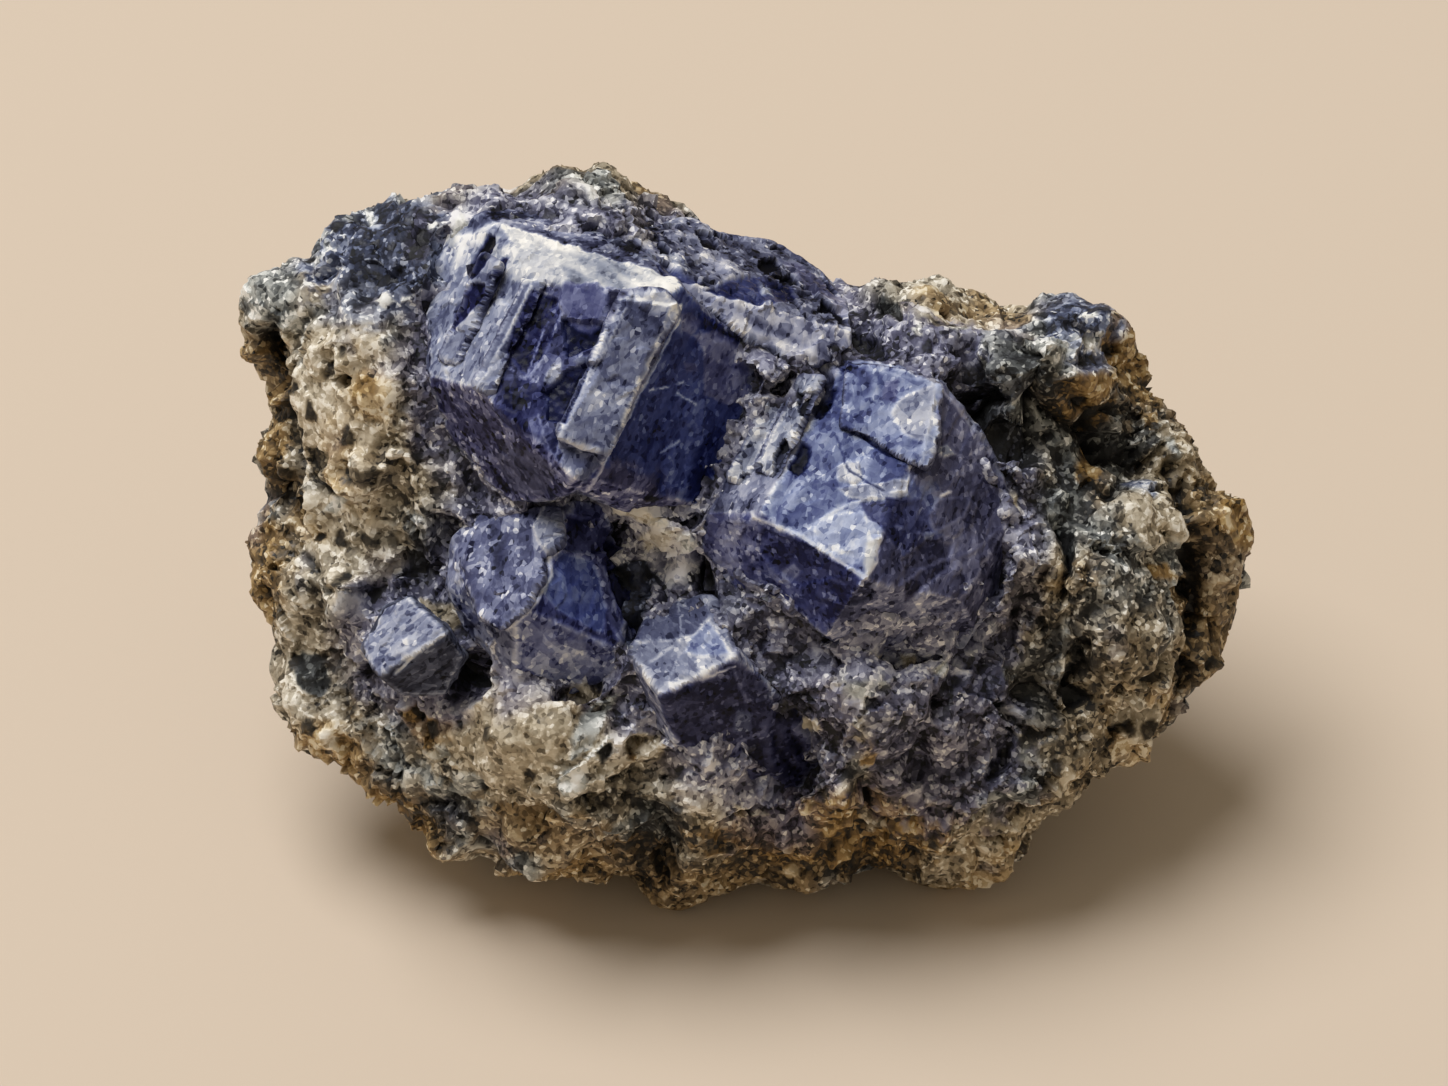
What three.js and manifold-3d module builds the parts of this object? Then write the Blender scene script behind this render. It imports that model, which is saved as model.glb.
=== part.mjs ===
// A hand specimen of rough iolite: blocky violet crystals bedded in a lump of grey and cream gneiss.
//
// Everything is drawn in the specimen's own leaning frame, in millimetres: x runs right across the
// crystal face, y runs up that face, and z points straight out of it. The whole stone is then leaned
// back about x until it rests on the small flat spot under its back, with +Z up.

import * as THREE from "three";
import { mergeVertices } from "three/addons/utils/BufferGeometryUtils.js";
import Module from "manifold-3d";

const wasm = await Module();
wasm.setup();

// Driving dimensions: how the stone stands
const FACE_ELEVATION = 42; // degrees above the horizon that the crystal face looks
const REST_DEPTH = 18.6; // from the middle of the stone down to the flat spot it rests on
const CENTRE_SHIFT = new THREE.Vector2(-0.1, -0.2); // brings the middle of the stone's box over the origin

// Driving dimensions: the lump of gneiss
const FRONT_DEPTH = 14.4; // from the rim's plane out to the front of the lump
const BACK_DEPTH = 19.4; // and to its back
const FRONT_FULLNESS = 2.5; // 2 is an ellipsoid, more is boxier
const BACK_FULLNESS = 2.5;
const BREAK_SOFTNESS = 16; // how sharply a fracture face meets the rest of the lump
const LUMP_DETAIL = 17; // subdivisions of the starting icosahedron, for an edge of about 1.6 mm
const KNOB_SPACING = 8.0; // size of the knobs left by weathering
const KNOB_HEIGHT = 2.2;
const CHIP_SPACING = 3.6; // size of the smaller chipped lumps on them
const CHIP_HEIGHT = 1.0;
const CHIP_OFFSET = 17; // keeps the chips out of step with the knobs
const CROWN_SCATTER = 0.42; // how far a knob's crown strays from the middle of its cell
const CREASE = [-0.1, 0.75]; // the crease between two knobs, from its floor to the crown
const CROWN_LEVEL = 0.7; // share of a knob's height that is carved in below the drawn lump
const RIM_CALM = 0.3; // share of that weathering left on the rim, whose shape is drawn
const CALM_DEPTH = 4; // how far in front and behind the rim it takes to reach its full height
const FRONT_FADE = [0.5, 6]; // heights over which the drawn relief of the front comes in
const BACK_FADE = [1, 8]; // and depths over which that of the back does

// Driving dimensions: the crystals
const BED_GAP = 0.3; // clear width between a crystal and the bed it sits in
const COLUMN_TOP = 30; // columns start this far out and are cut down to their faces
const HEART_HEIGHT = 3; // a height that lies inside every column
const CUTTER_SIZE = 120; // a cutting block, larger than the stone
const SHARPEST_MITRE = 0.5; // keeps the bed from running out in a spike at a sharp corner
const WELD = 1e-4; // corners nearer than this are one corner

const GNEISS = new THREE.MeshStandardMaterial({ color: 0x7c7467, roughness: 0.9, metalness: 0 });
const IOLITE = new THREE.MeshStandardMaterial({ color: 0x41466f, roughness: 0.35, metalness: 0 });
const FROSTED_IOLITE = new THREE.MeshStandardMaterial({ color: 0x7f86a6, roughness: 0.5, metalness: 0 });

// The lump's rim, seen square on to the crystal face: x and y, anticlockwise from the right
const RIM = [
  [32.1, -1.5], [32.2, 1.0], [29.4, 3.6], [28.5, 7.0], [25.7, 9.3], [25.5, 11.6], [22.9, 14.5],
  [20.4, 15.2], [17.2, 14.9], [14.8, 16.0], [12.3, 16.7], [9.0, 15.9], [4.6, 16.7], [1.6, 18.3],
  [-2.0, 19.2], [-4.3, 21.2], [-6.9, 21.9], [-8.8, 23.7], [-11.7, 24.0], [-14.8, 22.6],
  [-18.0, 21.6], [-20.9, 21.6], [-24.2, 20.4], [-26.0, 17.8], [-28.4, 16.4], [-30.2, 15.9],
  [-31.4, 14.2], [-31.2, 12.0], [-30.3, 9.0], [-31.2, 6.4], [-31.0, 3.4], [-32.0, -0.6],
  [-31.2, -3.4], [-30.6, -7.0], [-30.4, -10.0], [-28.6, -13.4], [-24.6, -15.2], [-22.8, -17.6],
  [-20.8, -19.5], [-17.6, -20.1], [-13.6, -21.6], [-9.2, -21.4], [-6.2, -22.9], [-3.5, -23.4],
  [-1.4, -22.6], [1.6, -21.7], [5.2, -22.2], [8.8, -21.2], [12.0, -21.5], [15.6, -21.6],
  [17.2, -20.0], [18.4, -18.2], [21.4, -16.4], [24.0, -13.9], [27.4, -12.0], [29.4, -8.8],
  [30.2, -5.2],
];

// Fracture faces of the lump: the way each one looks, and its distance from the middle
const BREAKS = [
  { faces: [0.2, 0.72, -0.66], distance: 20.4 },
  { faces: [-0.6, 0.45, -0.66], distance: 22.6 },
  { faces: [0.66, 0.25, -0.7], distance: 22.4 },
  { faces: [0.3, -0.35, -0.89], distance: 18.4 },
  { faces: [-0.25, 0.05, -0.97], distance: 17.4 },
  { faces: [-0.62, -0.42, -0.66], distance: 23.0 },
  { faces: [0.7, -0.5, -0.5], distance: 26.0 },
  { faces: [-0.62, -0.28, 0.73], distance: 21.4 },
  { faces: [0.2, -0.72, 0.66], distance: 19.6 },
  { faces: [0.74, -0.1, 0.66], distance: 22.4 },
];

// Knobs and hollows on the lump: centre across the face, reach, and height straight out of it
const FRONT_RELIEF = [
  { at: [-26.5, 15.0], reach: 3.4, height: 1.6 }, // shoulder knob, top left
  { at: [-21.5, 17.5], reach: 4.2, height: 2.6 }, // blue-black shoulder
  { at: [-13.5, 20.4], reach: 4.6, height: 2.4 }, // crest over the main crystal
  { at: [-7.0, 19.2], reach: 3.6, height: 3.0 },
  { at: [1.6, 12.6], reach: 2.6, height: 2.4 }, // grey fill between the two large crystals
  { at: [-24.0, 6.0], reach: 4.6, height: 1.8 }, // cream cheek, left of the crystals
  { at: [-21.0, -0.5], reach: 3.2, height: -1.6 },
  { at: [-27.5, -4.0], reach: 2.6, height: 1.4 },
  { at: [-16.5, 3.4], reach: 1.8, height: -2.6 }, // dark nook under the main crystal
  { at: [-6.6, -1.2], reach: 2.4, height: -2.6 }, // pit between the three crystals
  { at: [-4.2, 0.0], reach: 1.6, height: 1.8 },
  { at: [-13.5, -13.0], reach: 4.2, height: 2.0 }, // cream bank below the crystals
  { at: [-23.0, -13.5], reach: 3.0, height: 1.8 },
  { at: [-7.5, -18.0], reach: 3.0, height: 1.4 },
  { at: [-3.4, -20.0], reach: 2.6, height: 2.0 },
  { at: [1.0, -16.6], reach: 2.2, height: -1.6 },
  { at: [7.5, -16.0], reach: 3.0, height: 1.8 },
  { at: [14.5, -18.6], reach: 3.0, height: 2.6 }, // foot knob, lower right
  { at: [9.0, -11.0], reach: 3.6, height: 2.0 },
  { at: [18.0, -7.0], reach: 3.4, height: -2.2 }, // gully right of the crystals
  { at: [23.0, -3.5], reach: 3.8, height: 2.8 }, // dark hump on the right
  { at: [21.5, 5.0], reach: 2.8, height: -2.2 },
  { at: [26.0, 2.0], reach: 2.6, height: 1.8 },
  { at: [19.6, 12.6], reach: 3.6, height: 3.4 }, // blue-black block, top right
  { at: [11.5, 14.6], reach: 3.4, height: 2.2 },
  { at: [15.5, 9.0], reach: 2.6, height: -1.4 },
  { at: [6.4, 14.0], reach: 2.2, height: -1.6 }, // saddle
];
const BACK_RELIEF = [
  { at: [-20.0, 8.0], reach: 5.5, height: 2.2 },
  { at: [-9.0, 14.0], reach: 4.5, height: -1.8 },
  { at: [4.0, 12.0], reach: 5.0, height: 1.6 },
  { at: [17.0, 8.0], reach: 5.0, height: -2.2 },
  { at: [22.0, -2.0], reach: 4.5, height: 2.0 },
  { at: [-24.0, -6.0], reach: 4.0, height: -1.8 },
  { at: [8.0, 2.0], reach: 4.0, height: -1.2 },
];

// Grooves down the front, where the layers of the gneiss part
const GROOVES = [
  {
    width: 1.5,
    depth: 1.9,
    along: [[-29.6, 13.4], [-28.2, 8.5], [-28.6, 1.0], [-27.9, -4.5], [-26.6, -10.0]],
  },
  {
    width: 1.5,
    depth: 2.0,
    along: [[23.2, 14.2], [25.0, 8.0], [27.6, 3.4], [28.6, -1.5], [27.6, -7.5], [25.6, -11.5]],
  },
  { width: 1.3, depth: 1.3, along: [[-19.6, 12.0], [-20.0, 5.5], [-18.4, 1.5], [-19.6, -3.0]] },
  { width: 1.2, depth: 1.1, along: [[-25.0, -8.0], [-22.4, -13.0], [-20.6, -17.5]] },
  { width: 1.6, depth: 1.6, along: [[17.4, 6.0], [18.6, 0.0], [16.8, -6.0], [13.5, -11.0], [11.5, -15.5]] },
  { width: 1.2, depth: 1.1, along: [[2.0, 15.4], [9.0, 12.6], [16.0, 12.0]] },
];

// Each crystal is a column with the given outline across the face, from its root in the gneiss up to
// flat faces, each laid through three points. Ledges are smaller columns grown together with it.
const MAIN_CRYSTAL = {
  root: -1.0,
  outline: [
    [-18.5, 18.9], [-19.2, 14.5], [-19.2, 10.3], [-18.1, 6.7], [-16.1, 4.2], [-14.2, 2.5],
    [-11.6, 2.6], [-10.4, 3.2], [-6.4, 1.6], [-3.4, 1.2], [-1.2, 5.2], [0.4, 9.4], [-0.2, 11.8],
    [-2.8, 13.9], [-5.4, 16.6], [-8.8, 18.6], [-12.5, 20.0], [-15.5, 20.2],
  ],
  faces: [
    [[-13.1, 15.3, 15.5], [-16.1, 9.2, 16.5], [-18.8, 12.7, 11.7]], // striated left side
    [[-13.1, 15.3, 15.5], [-16.1, 9.2, 16.5], [-11.2, 6.5, 18.2]], // broad left face
    [[-4.2, 13.8, 16.5], [-8.4, 5.5, 17.9], [0.5, 9.4, 11.3]], // dark right face
    [[-16.1, 9.2, 16.5], [-11.3, 4.4, 18.3], [-14.2, 2.4, 12.5]], // broken lower left end
    [[-8.8, 3.6, 17.7], [-2.8, 2.3, 12.4], [-6.4, 1.4, 12.0]], // broken lower right end
    [[-13.1, 15.7, 15.5], [-6.4, 14.9, 17.0], [-12.0, 19.4, 11.2]], // crusted top end
    [[-18.8, 13.0, 11.7], [-13.6, 16.6, 14.6], [-17.6, 18.4, 9.4]], // its left shoulder
    [[-14.0, 18.4, 12.6], [-7.0, 16.6, 14.9], [-11.0, 20.4, 7.4]], // slope behind the crust
  ],
  ledges: [
    {
      outline: [
        [-7.5, 14.9], [-11.3, 6.6], [-11.2, 4.9], [-10.1, 3.9], [-9.1, 3.9], [-8.4, 5.4], [-4.3, 13.8],
        [-5.2, 14.9],
      ],
      faces: [
        [[-7.5, 14.6, 18.2], [-11.3, 6.6, 19.6], [-4.3, 13.8, 17.6]], // flat top of the bar
        [[-11.3, 6.4, 19.6], [-8.4, 5.2, 19.1], [-9.8, 3.8, 16.4]], // its lower end
      ],
    },
    {
      outline: [
        [-13.4, 15.6], [-16.4, 9.4], [-15.4, 8.9], [-12.3, 15.6],
      ],
      faces: [[[-13.3, 15.3, 15.9], [-16.3, 9.2, 16.9], [-12.4, 14.8, 16.2]]], // thin rib by its edge
    },
    {
      outline: [
        [-16.0, 17.2], [-18.6, 11.0], [-17.5, 10.6], [-15.0, 16.6],
      ],
      faces: [[[-16.0, 17.0, 14.0], [-18.5, 11.0, 13.7], [-15.0, 16.6, 14.8]]], // pale rib down the left side
    },
    {
      root: -9.0,
      outline: [
        [-8.8, 17.6], [-5.8, 16.2], [-2.1, 14.0], [0.6, 11.8], [4.0, 10.6], [6.2, 12.0], [5.9, 14.5],
        [4.6, 16.4], [1.8, 18.2], [-2.1, 18.9], [-3.6, 19.6], [-6.2, 18.9],
      ],
      faces: [
        [[-8.8, 17.4, 14.2], [4.6, 13.2, 11.4], [-2.1, 19.1, 5.0]], // dark slope behind the crest
        [[-8.8, 17.4, 14.2], [4.6, 13.2, 11.4], [-1.0, 10.0, 14.2]], // worn crest
        [[-3.6, 19.6, 2.0], [4.6, 16.4, 2.0], [0.5, 13.6, -9.0]], // back, sinking into the gneiss
      ],
    },
  ],
};

const RIGHT_CRYSTAL = {
  root: -1.0,
  outline: [
    [6.1, 10.9], [9.3, 10.5], [11.7, 9.6], [14.5, 5.9], [16.4, 2.4], [16.2, -1.2], [14.6, -4.3],
    [12.7, -6.7], [9.3, -7.9], [5.7, -6.3], [2.7, -3.8], [-0.5, -2.9], [-2.6, -0.4], [-2.6, 0.8],
    [-0.4, 4.9], [1.2, 9.0], [3.3, 10.4],
  ],
  faces: [
    [[7.0, -2.4, 18.0], [0.5, 1.9, 16.0], [11.5, 9.2, 12.2]], // bright top face
    [[7.0, -2.4, 18.0], [0.5, 1.9, 16.0], [-0.5, -3.0, 12.4]], // dark lower left face
    [[7.0, -2.4, 18.0], [11.5, 9.2, 12.2], [16.2, 0.6, 10.0]], // right face
    [[7.0, -2.4, 18.0], [5.7, -6.4, 13.2], [14.5, -4.2, 12.0]], // lower face
    [[0.5, 1.9, 15.6], [6.1, 10.8, 11.6], [-0.2, 6.0, 11.4]], // rough upper left side
    [[13.4, -2.0, 13.4], [15.6, 1.6, 11.0], [14.4, -4.4, 10.0]], // bevel at the lower right
  ],
  ledges: [
    {
      outline: [
        [6.2, 10.7], [5.7, 6.9], [7.6, 6.2], [9.2, 5.2], [10.9, 4.4], [11.5, 6.3], [11.8, 9.3],
        [9.5, 10.2],
      ],
      faces: [
        [[7.0, -2.4, 18.6], [0.5, 1.9, 16.6], [11.5, 9.2, 12.8]], // step on the bright face
        [[6.6, -2.4, 19.0], [10.9, 4.4, 15.4], [13.4, 6.0, 11.6]], // its right flank
      ],
    },
    {
      outline: [
        [3.3, 10.0], [0.6, 4.4], [1.8, 3.8], [4.6, 9.8],
      ],
      faces: [[[3.3, 10.0, 12.6], [0.6, 4.4, 14.4], [4.6, 9.8, 13.2]]], // ribs on the rough side
    },
    {
      outline: [
        [1.2, 8.6], [-1.0, 3.8], [-0.1, 3.4], [2.2, 8.4],
      ],
      faces: [[[1.2, 8.6, 12.6], [-1.0, 3.8, 13.8], [2.2, 8.4, 12.9]]],
    },
  ],
};

const LOWER_CRYSTAL = {
  root: -1.0,
  outline: [
    [-17.9, 0.0], [-16.4, 1.5], [-14.3, 1.9], [-11.6, 1.9], [-10.2, 2.3], [-8.9, 2.0], [-8.0, 0.0],
    [-6.0, -2.0], [-5.8, -3.7], [-6.8, -6.1], [-8.6, -8.4], [-10.7, -9.3], [-12.9, -9.0],
    [-15.1, -7.3], [-17.1, -5.4], [-18.2, -2.7],
  ],
  faces: [
    [[-10.5, 2.2, 12.0], [-13.2, -4.3, 14.6], [-17.9, -1.2, 11.2]], // flaky left face
    [[-10.5, 2.2, 12.0], [-13.2, -4.3, 14.6], [-6.2, -3.8, 10.6]], // dark right face
    [[-13.2, -4.3, 14.6], [-9.0, -5.6, 13.0], [-11.4, -9.0, 10.6]], // rounded lower face
    [[-16.6, -3.0, 12.4], [-15.0, -5.6, 12.4], [-17.2, -5.4, 9.6]], // bevels around the foot
    [[-16.8, 0.4, 11.8], [-17.0, -2.4, 12.0], [-18.2, -0.6, 9.8]],
    [[-7.6, -3.0, 11.9], [-8.0, -6.0, 12.0], [-6.4, -5.4, 9.6]],
  ],
  ledges: [
    {
      outline: [
        [-11.6, 1.8], [-11.3, -0.3], [-12.4, -1.1], [-12.4, -2.4], [-13.4, -4.2], [-14.9, -5.4],
        [-16.2, -4.6], [-17.2, -1.4], [-16.2, 0.8], [-14.2, 1.6],
      ],
      faces: [
        [[-10.5, 2.2, 12.6], [-13.2, -4.3, 15.2], [-17.9, -1.2, 11.8]], // plate on the flaky face
        [[-15.6, 0.6, 13.2], [-16.4, -3.4, 13.4], [-17.4, -1.0, 11.2]],
      ],
    },
  ],
};

const LEFT_CRYSTAL = {
  root: 2.0,
  outline: [
    [-23.3, -6.6], [-22.1, -4.3], [-20.6, -3.7], [-18.3, -5.7], [-17.4, -7.1], [-18.6, -9.3],
    [-21.0, -9.3], [-22.3, -8.1],
  ],
  faces: [
    [[-22.0, -8.0, 12.6], [-18.3, -5.7, 13.8], [-21.4, -4.0, 11.2]], // bright upper face
    [[-22.0, -8.0, 12.6], [-18.3, -5.7, 13.8], [-18.8, -9.3, 10.4]], // dark lower face
  ],
  ledges: [],
};

const FOOT_CRYSTAL = {
  root: 0.0,
  outline: [
    [-6.9, -7.0], [-6.4, -5.0], [-3.4, -3.6], [-2.1, -3.6], [-0.9, -6.7], [0.9, -8.6], [3.3, -10.7],
    [4.4, -13.7], [2.4, -16.6], [0.1, -15.6], [-2.5, -13.3], [-4.8, -11.9], [-6.2, -10.4],
  ],
  faces: [
    [[-6.9, -7.0, 13.4], [-5.0, -9.3, 15.4], [-0.9, -7.2, 14.9]], // bright upper face
    [[-5.0, -9.3, 15.4], [-0.9, -7.2, 14.9], [-1.6, -13.2, 10.6]], // dark front face
    [[-6.9, -7.0, 13.4], [-5.0, -9.3, 15.4], [-5.0, -12.0, 10.8]], // lower left face
    [[-0.9, -7.2, 14.9], [3.3, -11.0, 11.2], [1.0, -6.0, 11.0]], // right side
    [[-6.9, -6.4, 13.6], [-2.6, -5.2, 14.4], [-2.8, -3.4, 11.6]], // back-tilted top
  ],
  ledges: [],
};

// A closed solid of a geometry's bare faces
function solidFrom(geometry) {
  const bare = geometry.clone();
  for (const name of Object.keys(bare.attributes)) {
    if (name !== "position") bare.deleteAttribute(name);
  }
  const merged = mergeVertices(bare, WELD);
  return new wasm.Manifold(
    new wasm.Mesh({
      numProp: 3,
      vertProperties: new Float32Array(merged.attributes.position.array),
      triVerts: new Uint32Array(merged.index.array),
    }),
  );
}

// And back again
function geometryFrom(solid) {
  const mesh = solid.getMesh();
  const geometry = new THREE.BufferGeometry();
  geometry.setAttribute("position", new THREE.BufferAttribute(mesh.vertProperties, 3));
  geometry.setIndex(new THREE.BufferAttribute(mesh.triVerts, 1));
  geometry.computeVertexNormals();
  return geometry;
}

// Cuts away all of a solid that lies beyond a plane, on the side that its normal points to
function sliceOff(solid, point, normal) {
  const block = new THREE.BoxGeometry(CUTTER_SIZE, CUTTER_SIZE, CUTTER_SIZE);
  block.translate(0, 0, CUTTER_SIZE / 2);
  block.applyQuaternion(new THREE.Quaternion().setFromUnitVectors(new THREE.Vector3(0, 0, 1), normal));
  block.translate(point.x, point.y, point.z);
  return solid.subtract(solidFrom(block));
}

// The stone without the loose splinters that neighbouring cuts leave between them
function withoutSplinters(solid) {
  return solid.decompose().sort((a, b) => b.volume() - a.volume())[0];
}

// A column over an outline, from one height to another
function column(outline, from, to) {
  const shape = new THREE.Shape(outline.map(([x, y]) => new THREE.Vector2(x, y)));
  const geometry = new THREE.ExtrudeGeometry(shape, { depth: to - from, bevelEnabled: false });
  return solidFrom(geometry.translate(0, 0, from));
}

// A column cut down to its flat faces, which all look away from its heart
function facetedColumn(outline, faces, root) {
  const middle = outline.reduce((sum, [x, y]) => sum.add(new THREE.Vector3(x, y, 0)), new THREE.Vector3());
  const heart = middle.divideScalar(outline.length).setZ(Math.max(root, HEART_HEIGHT));
  let solid = column(outline, root, COLUMN_TOP);
  for (const corners of faces) {
    const plane = new THREE.Plane().setFromCoplanarPoints(...corners.map((p) => new THREE.Vector3(...p)));
    if (plane.distanceToPoint(heart) > 0) plane.negate();
    solid = sliceOff(solid, new THREE.Vector3(...corners[0]), plane.normal);
  }
  return solid;
}

// The same outline, moved outwards by a gap on every side
function grownOutline(outline, gap) {
  const clockwise = THREE.ShapeUtils.isClockWise(outline.map(([x, y]) => new THREE.Vector2(x, y)));
  const outward = clockwise ? -1 : 1;
  return outline.map(([x, y], i) => {
    const [beforeX, beforeY] = outline.at(i - 1);
    const [afterX, afterY] = outline[(i + 1) % outline.length];
    const into = new THREE.Vector2(x - beforeX, y - beforeY).normalize();
    const away = new THREE.Vector2(afterX - x, afterY - y).normalize();
    const mitre = new THREE.Vector2(into.y + away.y, -(into.x + away.x)).normalize();
    const reach = (outward * gap) / Math.max(SHARPEST_MITRE, mitre.x * into.y - mitre.y * into.x);
    return [x + mitre.x * reach, y + mitre.y * reach];
  });
}

// A crystal with its ledges, kept clear of the neighbours that grew before it
function crystalSolid(crystal, neighbours) {
  let solid = facetedColumn(crystal.outline, crystal.faces, crystal.root);
  for (const ledge of crystal.ledges) {
    solid = solid.add(facetedColumn(ledge.outline, ledge.faces, ledge.root ?? crystal.root));
  }
  for (const neighbour of neighbours) {
    solid = solid.subtract(bedSolid(neighbour));
  }
  return withoutSplinters(solid);
}

// The bed that a crystal sits in: its columns with the gap all round, open at the top
function bedSolid(crystal) {
  let solid = column(grownOutline(crystal.outline, BED_GAP), crystal.root - BED_GAP, COLUMN_TOP);
  for (const ledge of crystal.ledges) {
    const root = (ledge.root ?? crystal.root) - BED_GAP;
    solid = solid.add(column(grownOutline(ledge.outline, BED_GAP), root, COLUMN_TOP));
  }
  return solid;
}

// A repeatable number from -1 to 1 for each cell of a lattice
const SCRAMBLE = new THREE.Vector3(127.1, 311.7, 74.7);
const SCRAMBLE_GAIN = 43758.5453;
function cellValue(x, y, z) {
  const mixed = Math.sin(SCRAMBLE.dot(new THREE.Vector3(x, y, z))) * SCRAMBLE_GAIN;
  return 2 * (mixed - Math.floor(mixed)) - 1;
}

const STRAY_STEPS = [0, 5, 10]; // the cells that a crown's three strays are taken from
// Rounded lumps about one unit across, 1 on each crown and 0 deep in the creases between them
function lumps(p) {
  const cell = p.clone().floor();
  const crown = new THREE.Vector3();
  const distances = [];
  for (const x of [-1, 0, 1]) {
    for (const y of [-1, 0, 1]) {
      for (const z of [-1, 0, 1]) {
        crown.set(cell.x + x, cell.y + y, cell.z + z);
        const stray = STRAY_STEPS.map((step) => cellValue(crown.x + step, crown.y, crown.z));
        crown.addScalar(0.5).add(new THREE.Vector3(...stray).multiplyScalar(CROWN_SCATTER));
        distances.push(crown.distanceTo(p));
      }
    }
  }
  const [nearest, second] = distances.sort((a, b) => a - b);
  return THREE.MathUtils.smoothstep(second - nearest, ...CREASE);
}

// The rim's distance from the middle, in the direction of an angle across the face
const RIM_CORNERS = RIM.map(([x, y]) => ({ angle: Math.atan2(y, x), radius: Math.hypot(x, y) })).sort(
  (a, b) => a.angle - b.angle,
);
function rimRadius(angle) {
  const found = RIM_CORNERS.findIndex((corner) => corner.angle >= angle);
  const after = RIM_CORNERS[found < 0 ? 0 : found];
  const before = RIM_CORNERS.at(found < 0 ? -1 : found - 1);
  const turn = 2 * Math.PI;
  const span = (after.angle - before.angle + turn) % turn;
  const share = ((angle - before.angle + turn) % turn) / span;
  return THREE.MathUtils.lerp(before.radius, after.radius, share);
}

// Where the smooth lump meets a direction: full to the rim, domed in front and behind
function domeRadius(direction) {
  const across = Math.hypot(direction.x, direction.y) / rimRadius(Math.atan2(direction.y, direction.x));
  const front = direction.z > 0;
  const out = Math.abs(direction.z) / (front ? FRONT_DEPTH : BACK_DEPTH);
  const fullness = front ? FRONT_FULLNESS : BACK_FULLNESS;
  return (across ** fullness + out ** fullness) ** (-1 / fullness);
}

// The lump with its fracture faces, blended into it by a soft minimum
function brokenRadius(direction) {
  let sum = domeRadius(direction) ** -BREAK_SOFTNESS;
  for (const { faces, distance } of BREAKS) {
    const slope = direction.dot(new THREE.Vector3(...faces).normalize());
    if (slope > 0) sum += (distance / slope) ** -BREAK_SOFTNESS;
  }
  return sum ** (-1 / BREAK_SOFTNESS);
}

// The same, given back on the rim what the fracture faces took from its drawn shape
function lumpRadius(direction) {
  const angle = Math.atan2(direction.y, direction.x);
  const onRim = new THREE.Vector3(Math.cos(angle), Math.sin(angle), 0);
  const given = domeRadius(onRim) / brokenRadius(onRim);
  const radius = brokenRadius(direction);
  const nearRim = 1 - THREE.MathUtils.smoothstep(Math.abs(direction.z * radius), 0, FRONT_DEPTH);
  return radius * THREE.MathUtils.lerp(1, given, nearRim);
}

// How far a point is from a line drawn through some corners
function distanceToLine(point, corners) {
  const at = new THREE.Vector3();
  let nearest = Infinity;
  for (let i = 1; i < corners.length; i++) {
    const [start, end] = [corners[i - 1], corners[i]].map(([x, y]) => new THREE.Vector3(x, y, 0));
    new THREE.Line3(start, end).closestPointToPoint(point, true, at);
    nearest = Math.min(nearest, at.distanceTo(point));
  }
  return nearest;
}

// The height that a list of knobs and hollows adds at a place
function mounds(list, place) {
  return list.reduce((sum, { at: [x, y], reach, height }) => {
    const away = Math.hypot(place.x - x, place.y - y) / reach;
    return sum + height * Math.exp(-(away ** 2));
  }, 0);
}

// How far the drawn features push the front outwards, or the back the other way
function drawnRelief(place) {
  const flat = new THREE.Vector3(place.x, place.y, 0);
  let front = mounds(FRONT_RELIEF, place);
  for (const { along, width, depth } of GROOVES) {
    front -= depth * Math.exp(-((distanceToLine(flat, along) / width) ** 2));
  }
  const inFront = THREE.MathUtils.smoothstep(place.z, ...FRONT_FADE);
  const behind = THREE.MathUtils.smoothstep(-place.z, ...BACK_FADE);
  return front * inFront - mounds(BACK_RELIEF, place) * behind;
}

// Knobs and chips all over, with creases between them
function weathering(place) {
  const knobs = lumps(place.clone().divideScalar(KNOB_SPACING)) - CROWN_LEVEL;
  const chips = lumps(place.clone().divideScalar(CHIP_SPACING).addScalar(CHIP_OFFSET)) - CROWN_LEVEL;
  const fromRim = THREE.MathUtils.smoothstep(Math.abs(place.z), 0, CALM_DEPTH);
  const share = THREE.MathUtils.lerp(RIM_CALM, 1, fromRim);
  return (KNOB_HEIGHT * knobs + CHIP_HEIGHT * chips) * share;
}

// The whole lump, before anything is cut from it
function lumpSolid() {
  const ball = new THREE.IcosahedronGeometry(1, LUMP_DETAIL);
  ball.deleteAttribute("normal");
  ball.deleteAttribute("uv");
  const lump = mergeVertices(ball, WELD);
  const position = lump.attributes.position;
  const direction = new THREE.Vector3();
  for (let i = 0; i < position.count; i++) {
    direction.fromBufferAttribute(position, i).normalize();
    const place = direction.clone().multiplyScalar(lumpRadius(direction));
    const relief = drawnRelief(place);
    place.addScaledVector(direction, weathering(place));
    position.setXYZ(i, place.x, place.y, place.z + relief);
  }
  return solidFrom(lump);
}

// The gneiss: the lump on its flat resting spot, with a bed cut for each crystal
function gneissSolid(crystals) {
  const lean = THREE.MathUtils.degToRad(FACE_ELEVATION);
  const down = new THREE.Vector3(0, -Math.cos(lean), -Math.sin(lean));
  let solid = sliceOff(lumpSolid(), down.clone().multiplyScalar(REST_DEPTH), down);
  for (const crystal of crystals) {
    solid = solid.subtract(bedSolid(crystal));
  }
  return withoutSplinters(solid);
}

function piece(name, solid, material) {
  const mesh = new THREE.Mesh(geometryFrom(solid), material);
  mesh.name = name;
  return mesh;
}

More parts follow.
